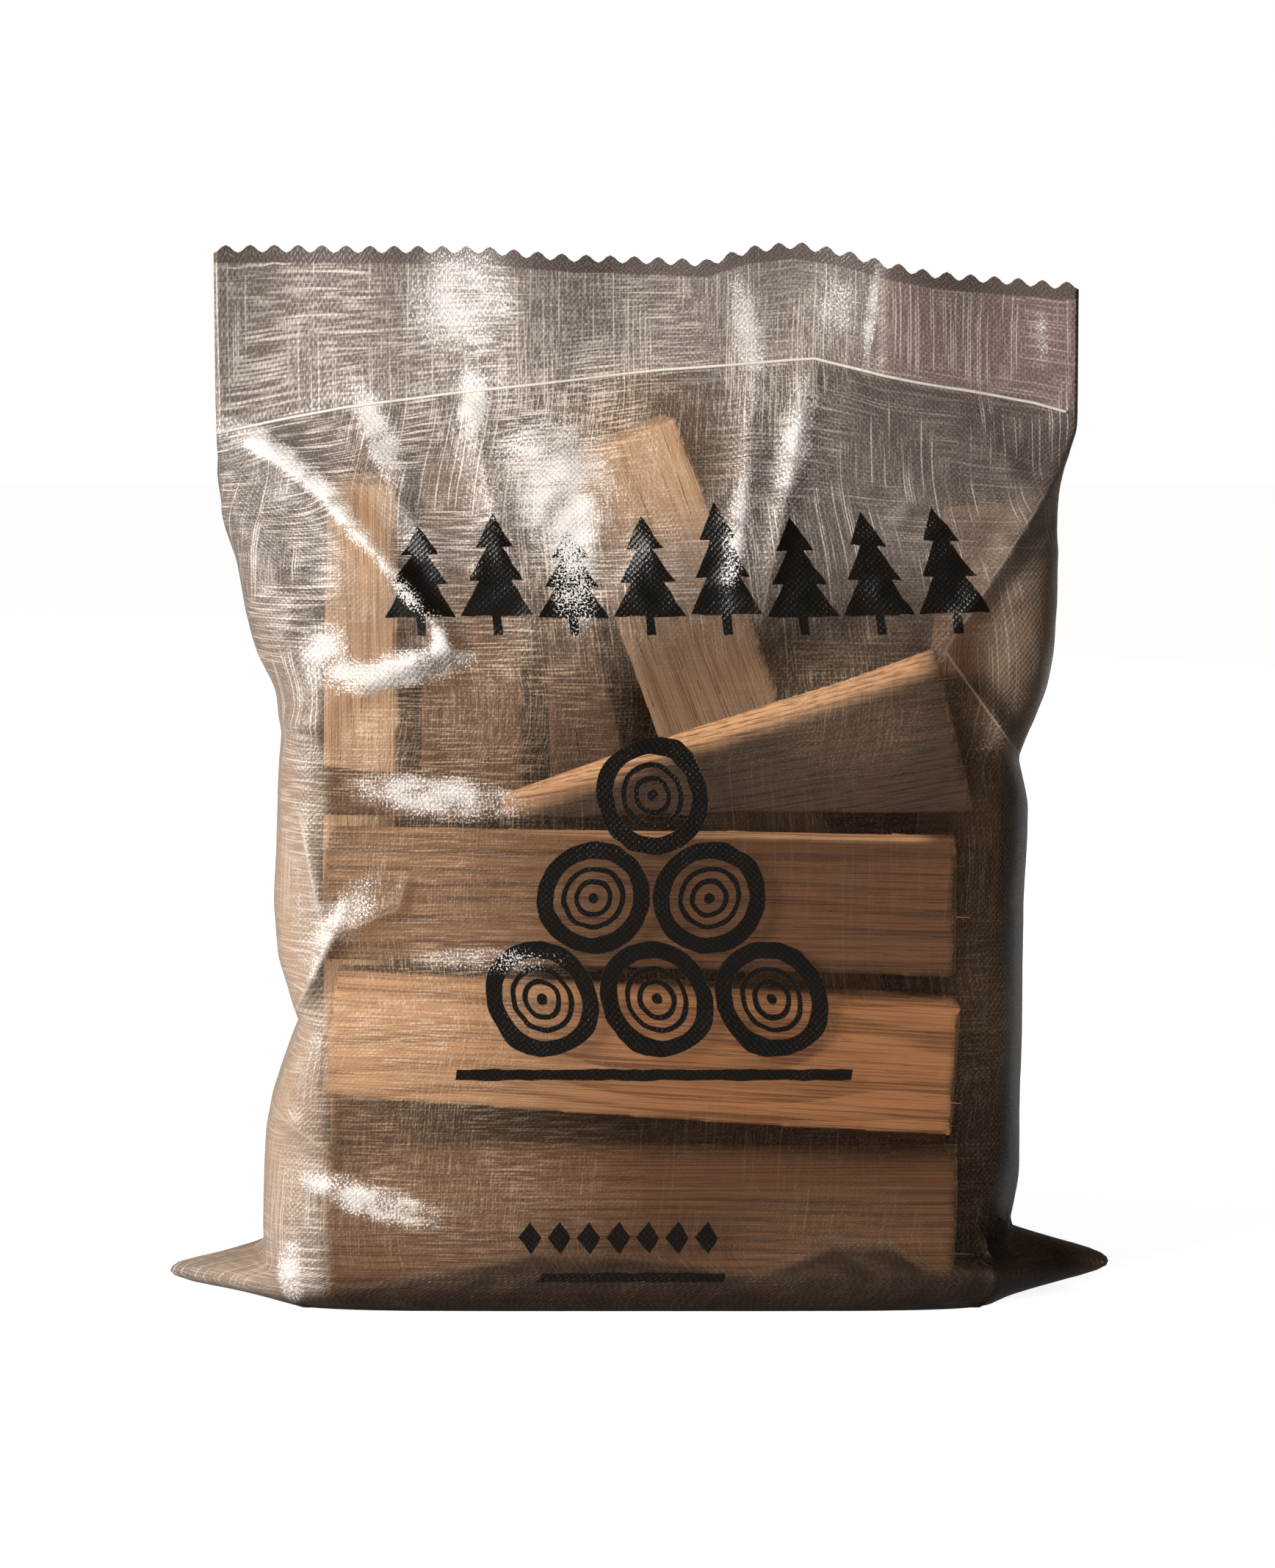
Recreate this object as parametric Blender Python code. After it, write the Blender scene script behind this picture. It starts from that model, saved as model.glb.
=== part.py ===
"""A woven clear-plastic sack of split firewood, standing on its base.

Metres, +Z up, front of the sack towards -Y, origin on the floor under the middle of the object.
"""

import math

import bmesh
import bpy
import numpy as np
from mathutils import Matrix, Vector

# Driving sizes of the sack, in metres
WALL = 0.0008         # film with its welds, drawn thicker than the real 0.15 mm
FOLD_WALL = 0.0016    # the same at the side folds, where the film doubles back
PRESSED_SHARE = 0.55  # where the mouth is pressed shut, the wall takes this share of the half depth
SEAM_LEVEL = 0.489    # level of the closing seam before the mouth sags
MOUTH_LEVEL = 0.5474  # level of the cut mouth before it sags
SAG_START = 0.36      # nothing below this level is pulled down by the sagging mouth
FIN_START = 0.42      # the waves of the closed mouth begin here
FIN_WAVE = 0.0045     # how far the closed mouth waves to the front and back
TOOTH_PITCH = 0.0118
TOOTH_HEIGHT = 0.0046
CUTTER_TOP = 0.60
CUTTER_DEPTH = 0.06

# How a ring's points are spread
HALF_RING_STEPS = 22
CORNER_CROWDING = 0.5  # 0 spaces the points evenly, 1 crowds them all into the corners
ARC_SAMPLES = 720

# Level, left edge, right edge, half depth, squareness of the ring
SACK_RINGS = [
    (0.0000, -0.1830, 0.1850, 0.0600, 6.0),
    (0.0030, -0.1900, 0.1920, 0.0665, 6.0),
    (0.0080, -0.1940, 0.1955, 0.0695, 6.0),
    (0.0130, -0.1955, 0.1965, 0.0710, 6.0),
    (0.0180, -0.1965, 0.1970, 0.0720, 6.0),
    (0.0215, -0.1970, 0.1965, 0.0725, 6.0),
    (0.0250, -0.1970, 0.1955, 0.0725, 6.0),
    (0.0300, -0.1972, 0.1945, 0.0730, 6.0),
    (0.0360, -0.1974, 0.1935, 0.0730, 6.0),
    (0.0450, -0.1973, 0.1955, 0.0730, 6.0),
    (0.0650, -0.1968, 0.1990, 0.0725, 6.0),
    (0.0880, -0.1955, 0.1990, 0.0695, 6.0),
    (0.1100, -0.1910, 0.1990, 0.0715, 6.5),
    (0.1310, -0.1835, 0.1992, 0.0725, 8.0),
    (0.1465, -0.1767, 0.1994, 0.0720, 9.0),
    (0.1620, -0.1822, 0.1996, 0.0695, 8.0),
    (0.1800, -0.1885, 0.1998, 0.0700, 6.5),
    (0.2080, -0.1905, 0.2002, 0.0725, 6.0),
    (0.2360, -0.1892, 0.2018, 0.0720, 6.0),
    (0.2600, -0.1885, 0.2022, 0.0685, 6.0),
    (0.2740, -0.1880, 0.1990, 0.0675, 6.5),
    (0.2860, -0.1870, 0.1957, 0.0670, 7.0),
    (0.3007, -0.1850, 0.2039, 0.0665, 6.0),
    (0.3200, -0.1890, 0.2112, 0.0645, 5.5),
    (0.3390, -0.1985, 0.2150, 0.0620, 5.0),
    (0.3600, -0.2045, 0.2165, 0.0585, 4.5),
    (0.3900, -0.2090, 0.2165, 0.0530, 4.0),
    (0.4150, -0.2145, 0.2168, 0.0470, 3.4),
    (0.4350, -0.2172, 0.2200, 0.0400, 3.0),
    (0.4530, -0.2180, 0.2245, 0.0325, 2.7),
    (0.4680, -0.2183, 0.2262, 0.0235, 2.4),
    (0.4800, -0.2187, 0.2266, 0.0130, 2.2),
    (0.4890, -0.2190, 0.2268, 0.0034, 2.0),
    (0.4980, -0.2192, 0.2268, 0.0016, 2.0),
    (0.5230, -0.2195, 0.2268, 0.0014, 2.0),
    (0.5474, -0.2196, 0.2268, 0.0014, 2.0),
]

# Where the closing seam and the cut mouth really run: across the sack, height
SEAM_LINE = [
    (-0.2190, 0.4505), (-0.1530, 0.4638), (-0.0850, 0.4727), (0.0120, 0.4831),
    (0.0910, 0.4892), (0.1240, 0.4811), (0.1560, 0.4750), (0.2040, 0.4665), (0.2268, 0.4600),
]
MOUTH_LINE = [
    (-0.2196, 0.5474), (-0.0800, 0.5470), (-0.0340, 0.5428), (0.0350, 0.5400), (0.0570, 0.5470),
    (0.0800, 0.5494), (0.1030, 0.5459), (0.1260, 0.5400), (0.1490, 0.5350), (0.1720, 0.5324),
    (0.2180, 0.5286), (0.2268, 0.5286),
]

# The bottom ears: level and how far the fold reaches there
LEFT_EAR = [
    (0.0000, 0.2050), (0.0030, 0.2240), (0.0080, 0.2425), (0.0130, 0.2480), (0.0180, 0.2455),
    (0.0215, 0.2280), (0.0250, 0.2020), (0.0300, 0.1972),
]
RIGHT_EAR = [
    (0.0000, 0.2030), (0.0030, 0.2180), (0.0080, 0.2360), (0.0130, 0.2470), (0.0180, 0.2480),
    (0.0215, 0.2440), (0.0250, 0.2370), (0.0300, 0.2240), (0.0360, 0.1980), (0.0450, 0.1955),
]
EAR_ROOT_DEPTH = 0.86  # the ear's creases start this share of the half depth away from the fold
EAR_ROOT_REACH = 0.94  # and this share of the way out to the side

FILM = (0.62, 0.57, 0.52, 0.45)
PALE_WOOD = (0.62, 0.37, 0.19, 1.0)
BROWN_WOOD = (0.47, 0.27, 0.13, 1.0)

# Outlines of the split sections in a unit box: depth (front is negative), height.
# The last number is the edge that still has its round bark side, and how far it bulges.
SECTIONS = {
    "ridged": ([(-0.5, -0.28), (-0.5, 0.30), (0.25, 0.5), (0.5, 0.30), (0.5, -0.5), (-0.26, -0.5)], 5, 0.05),
    "squared": ([(-0.5, -0.5), (-0.5, 0.45), (-0.43, 0.5), (0.42, 0.46), (0.46, -0.42)], 3, 0.05),
    "bevelled": ([(-0.5, -0.5), (-0.5, 0.30), (-0.14, 0.5), (0.44, 0.42), (0.46, -0.44)], 3, 0.05),
    "blade": ([(-0.5, -0.5), (-0.5, 0.36), (-0.28, 0.5), (0.5, 0.30), (0.40, -0.5)], 3, 0.04),
    "quartered": ([(-0.46, -0.5), (-0.5, 0.5), (0.14, 0.46), (0.42, -0.40)], 2, 0.09),
}
SECTION_STEP = 0.3   # longest side between two points of a section, in the unit box
STATIONS = 7         # sections along a log
WANDER = 0.014       # how far a split face wanders in and out, as a share of the section
SAW_SLANT = 0.06     # how far a sawn end may be off square

# Name, section, centre of one end, centre of the other, depth and height at each end, seed, wood
LOGS = [
    ("log_front_bottom", "ridged", (-0.166, -0.0320, 0.0420), (0.166, -0.0320, 0.0415),
     (0.0560, 0.0800), (0.0560, 0.0790), 1, PALE_WOOD),
    ("log_front_middle", "squared", (-0.163, -0.0320, 0.1445), (0.164, -0.0320, 0.1255),
     (0.0560, 0.0680), (0.0560, 0.0710), 2, PALE_WOOD),
    ("log_front_upper", "bevelled", (-0.165, -0.0320, 0.2172), (0.165, -0.0320, 0.2105),
     (0.0560, 0.0690), (0.0560, 0.0730), 3, PALE_WOOD),
    ("wedge_front_top", "blade", (-0.072, -0.0310, 0.2610), (0.165, -0.0300, 0.3030),
     (0.0300, 0.0130), (0.0450, 0.0900), 4, PALE_WOOD),
    ("kindling_left", "quartered", (-0.168, -0.0340, 0.2700), (-0.078, -0.0330, 0.2640),
     (0.0380, 0.0250), (0.0320, 0.0180), 5, BROWN_WOOD),
    ("log_back_bottom", "squared", (-0.165, 0.0320, 0.0340), (0.165, 0.0320, 0.0335),
     (0.0560, 0.0640), (0.0560, 0.0630), 6, BROWN_WOOD),
    ("log_back_middle", "quartered", (-0.163, 0.0320, 0.0985), (0.162, 0.0320, 0.0980),
     (0.0560, 0.0600), (0.0560, 0.0590), 7, BROWN_WOOD),
    ("log_upright_left", "quartered", (-0.1470, 0.0330, 0.1330), (-0.1430, 0.0020, 0.4280),
     (0.0440, 0.0420), (0.0360, 0.0390), 8, PALE_WOOD),
    ("log_upright_second", "squared", (-0.0885, 0.0330, 0.1330), (-0.0850, 0.0010, 0.4360),
     (0.0440, 0.0580), (0.0360, 0.0550), 9, PALE_WOOD),
    ("wedge_upright_middle", "quartered", (-0.0060, 0.0330, 0.1380), (-0.0430, 0.0060, 0.3950),
     (0.0440, 0.0780), (0.0300, 0.0140), 10, BROWN_WOOD),
    ("log_leaning_middle", "squared", (0.0975, 0.0330, 0.1470), (-0.0125, -0.0005, 0.4500),
     (0.0440, 0.0700), (0.0300, 0.0680), 11, PALE_WOOD),
    ("log_upright_right", "quartered", (0.1600, 0.0330, 0.1350), (0.1770, 0.0040, 0.4120),
     (0.0440, 0.0480), (0.0340, 0.0420), 12, BROWN_WOOD),
]


def smooth_rise(low, high, value):
    """0 below low, 1 above high, and a smooth rise between them."""
    share = np.clip((value - low) / (high - low), 0.0, 1.0)
    return share * share * (3.0 - 2.0 * share)


def line_height(line, across):
    """Height of a line that is given as (across, height) points."""
    return np.interp(across, [p[0] for p in line], [p[1] for p in line])


def pulled_into_ear(across, out, depth, edge, ear, side, level):
    """Draws the side of a half ring out to the fold of a bottom ear, where the ring has one."""
    if level > ear[-1][0]:
        return across
    reach = line_height(ear, level)
    root = EAR_ROOT_DEPTH * depth
    crease = reach - (reach - EAR_ROOT_REACH * abs(edge)) * np.clip(out / root, 0.0, 1.0)
    on_side = (across * side > 0) & (out < root)
    return np.where(on_side, side * np.maximum(crease, across * side), across)


def half_ring(level, left, right, depth, squareness):
    """Half a ring from the left fold round the front to the right fold: how far across, how far out."""
    turn = np.linspace(0.0, math.pi, ARC_SAMPLES + 1)
    across = -np.sign(np.cos(turn)) * np.abs(np.cos(turn)) ** (2.0 / squareness)
    across = np.where(across < 0, -across * left, across * right)
    out = depth * np.abs(np.sin(turn)) ** (2.0 / squareness)
    across = pulled_into_ear(across, out, depth, left, LEFT_EAR, -1, level)
    across = pulled_into_ear(across, out, depth, right, RIGHT_EAR, 1, level)
    travelled = np.concatenate([[0.0], np.cumsum(np.hypot(np.diff(across), np.diff(out)))])
    place = CORNER_CROWDING * turn / math.pi + (1.0 - CORNER_CROWDING) * travelled / travelled[-1]
    wanted = np.linspace(0.0, 1.0, HALF_RING_STEPS + 1)
    return np.interp(wanted, place, across), np.interp(wanted, place, out)


def sack_ring(level, left, right, depth, squareness, inner=False):
    """One closed ring of the sack's outer or inner face as (x, y, z) rows, with the mouth's sag and waves."""
    across, out = half_ring(level, left, right, depth, squareness)
    if inner:
        across = across * (1.0 - FOLD_WALL / np.abs(across).max())
        out = out * (1.0 - min(WALL / depth, PRESSED_SHARE))
    x = np.concatenate([across, across[-2:0:-1]])
    y = np.concatenate([-out, out[-2:0:-1]])
    seam = line_height(SEAM_LINE, x)
    if level <= SEAM_LEVEL:
        z = level + smooth_rise(SAG_START, SEAM_LEVEL, level) * (seam - SEAM_LEVEL)
    else:
        share = (level - SEAM_LEVEL) / (MOUTH_LEVEL - SEAM_LEVEL)
        z = seam + share * (line_height(MOUTH_LINE, x) - seam)
    wave = FIN_WAVE * smooth_rise(FIN_START, MOUTH_LEVEL, level)
    y = y + wave * (np.sin(x * 31.0 + 0.6) + 0.5 * np.sin(x * 67.0 + 2.0))
    return np.stack([x, y, z], axis=1)


def material(name, colour, roughness):
    """A plain Principled material."""
    made = bpy.data.materials.new(name)
    made.use_nodes = True
    shader = made.node_tree.nodes["Principled BSDF"]
    shader.inputs["Base Color"].default_value = colour
    shader.inputs["Roughness"].default_value = roughness
    shader.inputs["Metallic"].default_value = 0.0
    shader.inputs["Alpha"].default_value = colour[3]
    return made


def add_object(name, bm, collection, finish=None):
    """Puts a bmesh into the scene as a named object."""
    mesh = bpy.data.meshes.new(name)
    bm.to_mesh(mesh)
    bm.free()
    if finish:
        mesh.materials.append(finish)
    made = bpy.data.objects.new(name, mesh)
    collection.objects.link(made)
    return made


def loft(bm, rings):
    """Joins closed rings of points with faces and returns the rings' vertices."""
    rows = [[bm.verts.new(point) for point in ring] for ring in rings]
    for low, high in zip(rows, rows[1:]):
        for i in range(len(low)):
            j = (i + 1) % len(low)
            bm.faces.new((low[i], low[j], high[j], high[i]))
    return rows


def build_mouth_cutter(collection):
    """A saw-toothed prism that pinks the mouth of the sack."""
    left = -0.26
    teeth = math.ceil(2 * abs(left) / TOOTH_PITCH)
    outline = []
    for i in range(2 * teeth + 1):
        x = left + i * TOOTH_PITCH / 2
        tip = line_height(MOUTH_LINE, x)
        outline.append((x, tip if i % 2 else tip - TOOTH_HEIGHT))
    outline += [(outline[-1][0], CUTTER_TOP), (left, CUTTER_TOP)]
    bm = bmesh.new()
    face = bm.faces.new([bm.verts.new((x, -CUTTER_DEPTH / 2, z)) for x, z in outline])
    pushed = bmesh.ops.extrude_face_region(bm, geom=[face])["geom"]
    moved = [part for part in pushed if isinstance(part, bmesh.types.BMVert)]
    bmesh.ops.translate(bm, verts=moved, vec=(0.0, CUTTER_DEPTH, 0.0))
    bmesh.ops.recalc_face_normals(bm, faces=bm.faces)
    made = add_object("mouth_cutter", bm, collection)
    made.hide_render = True
    made.display_type = "WIRE"
    return made


def build_sack(collection, cutters):
    """The sack: a thin wall on a flat base, with two bottom ears and a pinked mouth that is pressed together."""
    outer = [sack_ring(*ring) for ring in SACK_RINGS]
    inner = [sack_ring(*ring, inner=True) for ring in SACK_RINGS]
    inner[0][:, 2] = WALL
    bm = bmesh.new()
    rows = loft(bm, outer + inner[::-1])
    bm.faces.new(rows[0][::-1])
    bm.faces.new(rows[-1])
    sack = add_object("sack", bm, collection, material("clear_woven_film", FILM, 0.3))
    cut = sack.modifiers.new("pinked_mouth", "BOOLEAN")
    cut.operation = "DIFFERENCE"
    cut.object = build_mouth_cutter(cutters)
    return sack


def section_outline(corners, bark_edge, bulge):
    """A section's points, with short steps along its sides and a round bark edge."""
    made = []
    for i, (start, end) in enumerate(zip(corners, corners[1:] + corners[:1])):
        a, b = Vector(start), Vector(end)
        outward = Vector((b.y - a.y, a.x - b.x)).normalized()
        if outward.dot(a + b) < 0:
            outward = -outward
        steps = max(1, math.ceil((b - a).length / SECTION_STEP))
        for step in range(steps):
            share = step / steps
            swell = 4.0 * bulge * share * (1.0 - share) if i == bark_edge else 0.0
            made.append(a.lerp(b, share) + swell * outward)
    return made


def log_frame(start, end):
    """Rotation of a log from its own frame, where X is its length and Y its depth."""
    along = (end - start).normalized()
    depth = Vector((0.0, 1.0, 0.0))
    depth = (depth - depth.dot(along) * along).normalized()
    return Matrix((along, depth, along.cross(depth))).transposed()


def build_log(entry, collection):
    """One split log with sawn ends, whose split faces wander a little along the grain."""
    name, section, start, end, start_size, end_size, seed, wood = entry
    start, end = Vector(start), Vector(end)
    length = (end - start).length
    outline = section_outline(*SECTIONS[section])
    rng = np.random.default_rng(seed)
    phase = rng.uniform(0.0, 2.0 * math.pi, len(outline))
    slant = rng.uniform(-SAW_SLANT, SAW_SLANT, (2, 2))
    rings = []
    for share in np.linspace(0.0, 1.0, STATIONS):
        size = Vector(start_size).lerp(Vector(end_size), share)
        cut = slant[0] if share < 0.5 else slant[1]
        cut = cut * abs(2.0 * share - 1.0) ** 3
        ring = []
        for point, turn in zip(outline, phase):
            shrink = 1.0 - WANDER * (1.0 + math.sin(turn + 5.0 * share))
            a, b = point.x * size.x * shrink, point.y * size.y * shrink
            off_square = (cut[0] * a + cut[1] * b) * (1.0 if share < 0.5 else -1.0)
            inset = (abs(cut[0]) * size.x + abs(cut[1]) * size.y) / 2 * (1.0 if share < 0.5 else -1.0)
            ring.append(((share - 0.5) * length + off_square + inset, a, b))
        rings.append(ring)
    bm = bmesh.new()
    rows = loft(bm, rings)
    bm.faces.new(rows[0])
    bm.faces.new(rows[-1])
    bmesh.ops.recalc_face_normals(bm, faces=bm.faces)
    made = add_object(name, bm, collection, material(name + "_wood", wood, 0.8))
    made.rotation_euler = log_frame(start, end).to_euler()
    made.location = (start + end) / 2
    return made


def main():
    for old in list(bpy.data.objects):
        bpy.data.objects.remove(old, do_unlink=True)
    parts = bpy.data.collections.new("firewood_bundle")
    cutters = bpy.data.collections.new("cutters")
    for collection in (parts, cutters):
        bpy.context.scene.collection.children.link(collection)
    build_sack(parts, cutters)
    for entry in LOGS:
        build_log(entry, parts)
    bpy.context.view_layer.update()


main()
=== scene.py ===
"""Looks of an upright clear woven sack filled with split firewood.

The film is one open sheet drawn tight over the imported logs, with its threads, ink, seam and pinked
mouth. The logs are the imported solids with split, sawn and bark surfaces. Metres, +Z up, front at -Y.
"""

from __future__ import annotations

import logging
import math
from dataclasses import dataclass, field
from enum import Enum

import bmesh
import bpy
import numpy as np
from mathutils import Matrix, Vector, noise
from mathutils.bvhtree import BVHTree


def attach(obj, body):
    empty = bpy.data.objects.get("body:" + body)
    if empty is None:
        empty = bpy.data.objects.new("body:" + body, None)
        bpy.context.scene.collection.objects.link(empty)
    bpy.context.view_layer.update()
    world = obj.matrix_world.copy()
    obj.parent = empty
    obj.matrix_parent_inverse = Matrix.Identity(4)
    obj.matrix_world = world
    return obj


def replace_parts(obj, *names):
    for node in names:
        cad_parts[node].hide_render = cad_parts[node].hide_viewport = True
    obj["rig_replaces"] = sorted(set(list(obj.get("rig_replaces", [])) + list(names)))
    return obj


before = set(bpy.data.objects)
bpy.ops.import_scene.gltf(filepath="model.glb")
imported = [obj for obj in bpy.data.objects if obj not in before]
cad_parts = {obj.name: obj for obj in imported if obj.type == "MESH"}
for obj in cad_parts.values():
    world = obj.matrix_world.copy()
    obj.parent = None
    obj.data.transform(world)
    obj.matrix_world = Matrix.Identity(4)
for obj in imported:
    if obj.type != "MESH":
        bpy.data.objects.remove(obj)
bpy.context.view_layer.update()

LOG = logging.getLogger("firewood_sack")
MM = 0.001
Colour = tuple[float, float, float]
Pair = tuple[float, float]
FLOAT, VECTOR, COLOUR, GEOMETRY = (f"NodeSocket{kind}" for kind in ("Float", "Vector", "Color", "Geometry"))


# Small helpers for numbers and meshes


def smooth_rise(low: float, high: float, value: np.ndarray) -> np.ndarray:
    """A smooth step from 0 to 1.

    Args:
        low: Value where the step starts.
        high: Value where it ends.
        value: Numbers to map.

    Returns:
        The mapped numbers, in the shape of value.
    """
    share = np.clip((value - low) / (high - low), 0.0, 1.0)
    return share * share * (3.0 - 2.0 * share)


def blurred(rows: np.ndarray, reach: float) -> np.ndarray:
    """Smooths the columns of an array along its first axis with a bell curve.

    Args:
        rows: Numbers, one row for each step.
        reach: Standard deviation of the bell, in steps.

    Returns:
        The smoothed array.
    """
    half = math.ceil(3 * reach)
    bell = np.exp(-0.5 * (np.arange(-half, half + 1) / reach) ** 2)
    padded = np.pad(rows, ((half, half), (0, 0)), mode="edge")
    columns = [np.convolve(column, bell / bell.sum(), mode="valid") for column in padded.T]
    return np.stack(columns, axis=1)


def noise_at(place: Vector, scale: Colour) -> float:
    """Smooth noise at a place, with its scale along each axis."""
    return noise.noise(Vector((place.x * scale[0], place.y * scale[1], place.z * scale[2])))


def store(mesh: bpy.types.Mesh, name: str, values: np.ndarray) -> None:
    """Keeps one number or one vector for each vertex of a mesh, for its material to read.

    Args:
        mesh: The mesh.
        name: Name of the attribute.
        values: One row for each vertex.
    """
    is_vector = values.ndim == 2
    attribute = mesh.attributes.new(name, "FLOAT_VECTOR" if is_vector else "FLOAT", "POINT")
    attribute.data.foreach_set("vector" if is_vector else "value", values.astype(np.float32).ravel())


def points_of(mesh: bpy.types.Mesh) -> np.ndarray:
    """All vertex places of a mesh, one row each."""
    flat = np.zeros(len(mesh.vertices) * 3, np.float32)
    mesh.vertices.foreach_get("co", flat)
    return flat.reshape(-1, 3).astype(float)


def add_piece(name: str, mesh: bpy.types.Mesh, finish: bpy.types.Material) -> bpy.types.Object:
    """Puts a finished mesh into the scene at the origin.

    Args:
        name: Name of the piece.
        mesh: Its mesh, already in place.
        finish: Its material.

    Returns:
        The new object.
    """
    mesh.materials.clear()
    mesh.materials.append(finish)
    piece = bpy.data.objects.new(name, mesh)
    bpy.context.scene.collection.objects.link(piece)
    return piece


def frozen(piece: bpy.types.Object) -> bpy.types.Object:
    """Turns a piece's modifiers into plain mesh and removes them.

    Args:
        piece: An object with live modifiers.

    Returns:
        The same object with its evaluated mesh.
    """
    depsgraph = bpy.context.evaluated_depsgraph_get()
    made = bpy.data.meshes.new_from_object(piece.evaluated_get(depsgraph), depsgraph=depsgraph)
    piece.modifiers.clear()
    old, piece.data = piece.data, made
    made.name = piece.name
    bpy.data.meshes.remove(old)
    return piece


# Shader and geometry graphs


@dataclass(frozen=True)
class Signal:
    """A number or vector that flows through a node graph, with arithmetic that adds nodes."""

    graph: "Graph"
    socket: bpy.types.NodeSocket

    def __add__(self, other: "Signal | float") -> "Signal":
        """Sum."""
        return self.graph.math("ADD", self, other)

    def __radd__(self, other: float) -> "Signal":
        """Sum with a number on the left."""
        return self.graph.math("ADD", other, self)

    def __sub__(self, other: "Signal | float") -> "Signal":
        """Difference."""
        return self.graph.math("SUBTRACT", self, other)

    def __rsub__(self, other: float) -> "Signal":
        """Difference from a number on the left."""
        return self.graph.math("SUBTRACT", other, self)

    def __mul__(self, other: "Signal | float") -> "Signal":
        """Product."""
        return self.graph.math("MULTIPLY", self, other)

    def __rmul__(self, other: float) -> "Signal":
        """Product with a number on the left."""
        return self.graph.math("MULTIPLY", other, self)

    def __truediv__(self, other: "Signal | float") -> "Signal":
        """Quotient."""
        return self.graph.math("DIVIDE", self, other)

    def absolute(self) -> "Signal":
        """Size without its sign."""
        return self.graph.math("ABSOLUTE", self)

    def whole(self) -> "Signal":
        """The next whole number below."""
        return self.graph.math("FLOOR", self)

    def part(self) -> "Signal":
        """What is left after the whole number."""
        return self.graph.math("FRACT", self)

    def at_most(self, other: "Signal | float") -> "Signal":
        """The smaller of the two."""
        return self.graph.math("MINIMUM", self, other)

    def at_least(self, other: "Signal | float") -> "Signal":
        """The larger of the two."""
        return self.graph.math("MAXIMUM", self, other)

    def power(self, other: float) -> "Signal":
        """This number raised to a power."""
        return self.graph.math("POWER", self, other)

    def rise(self, low: float, high: float, bottom: float = 0.0, top: float = 1.0) -> "Signal":
        """A smooth step between two values.

        Args:
            low: Where the step starts.
            high: Where it ends.
            bottom: Result at low.
            top: Result at high.

        Returns:
            The stepped signal.
        """
        node = self.graph.node("ShaderNodeMapRange", interpolation_type="SMOOTHSTEP")
        for name, value in (("From Min", low), ("From Max", high), ("To Min", bottom), ("To Max", top)):
            node.inputs[name].default_value = value
        self.graph.join(self, node.inputs["Value"])
        return Signal(self.graph, node.outputs["Result"])


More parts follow.
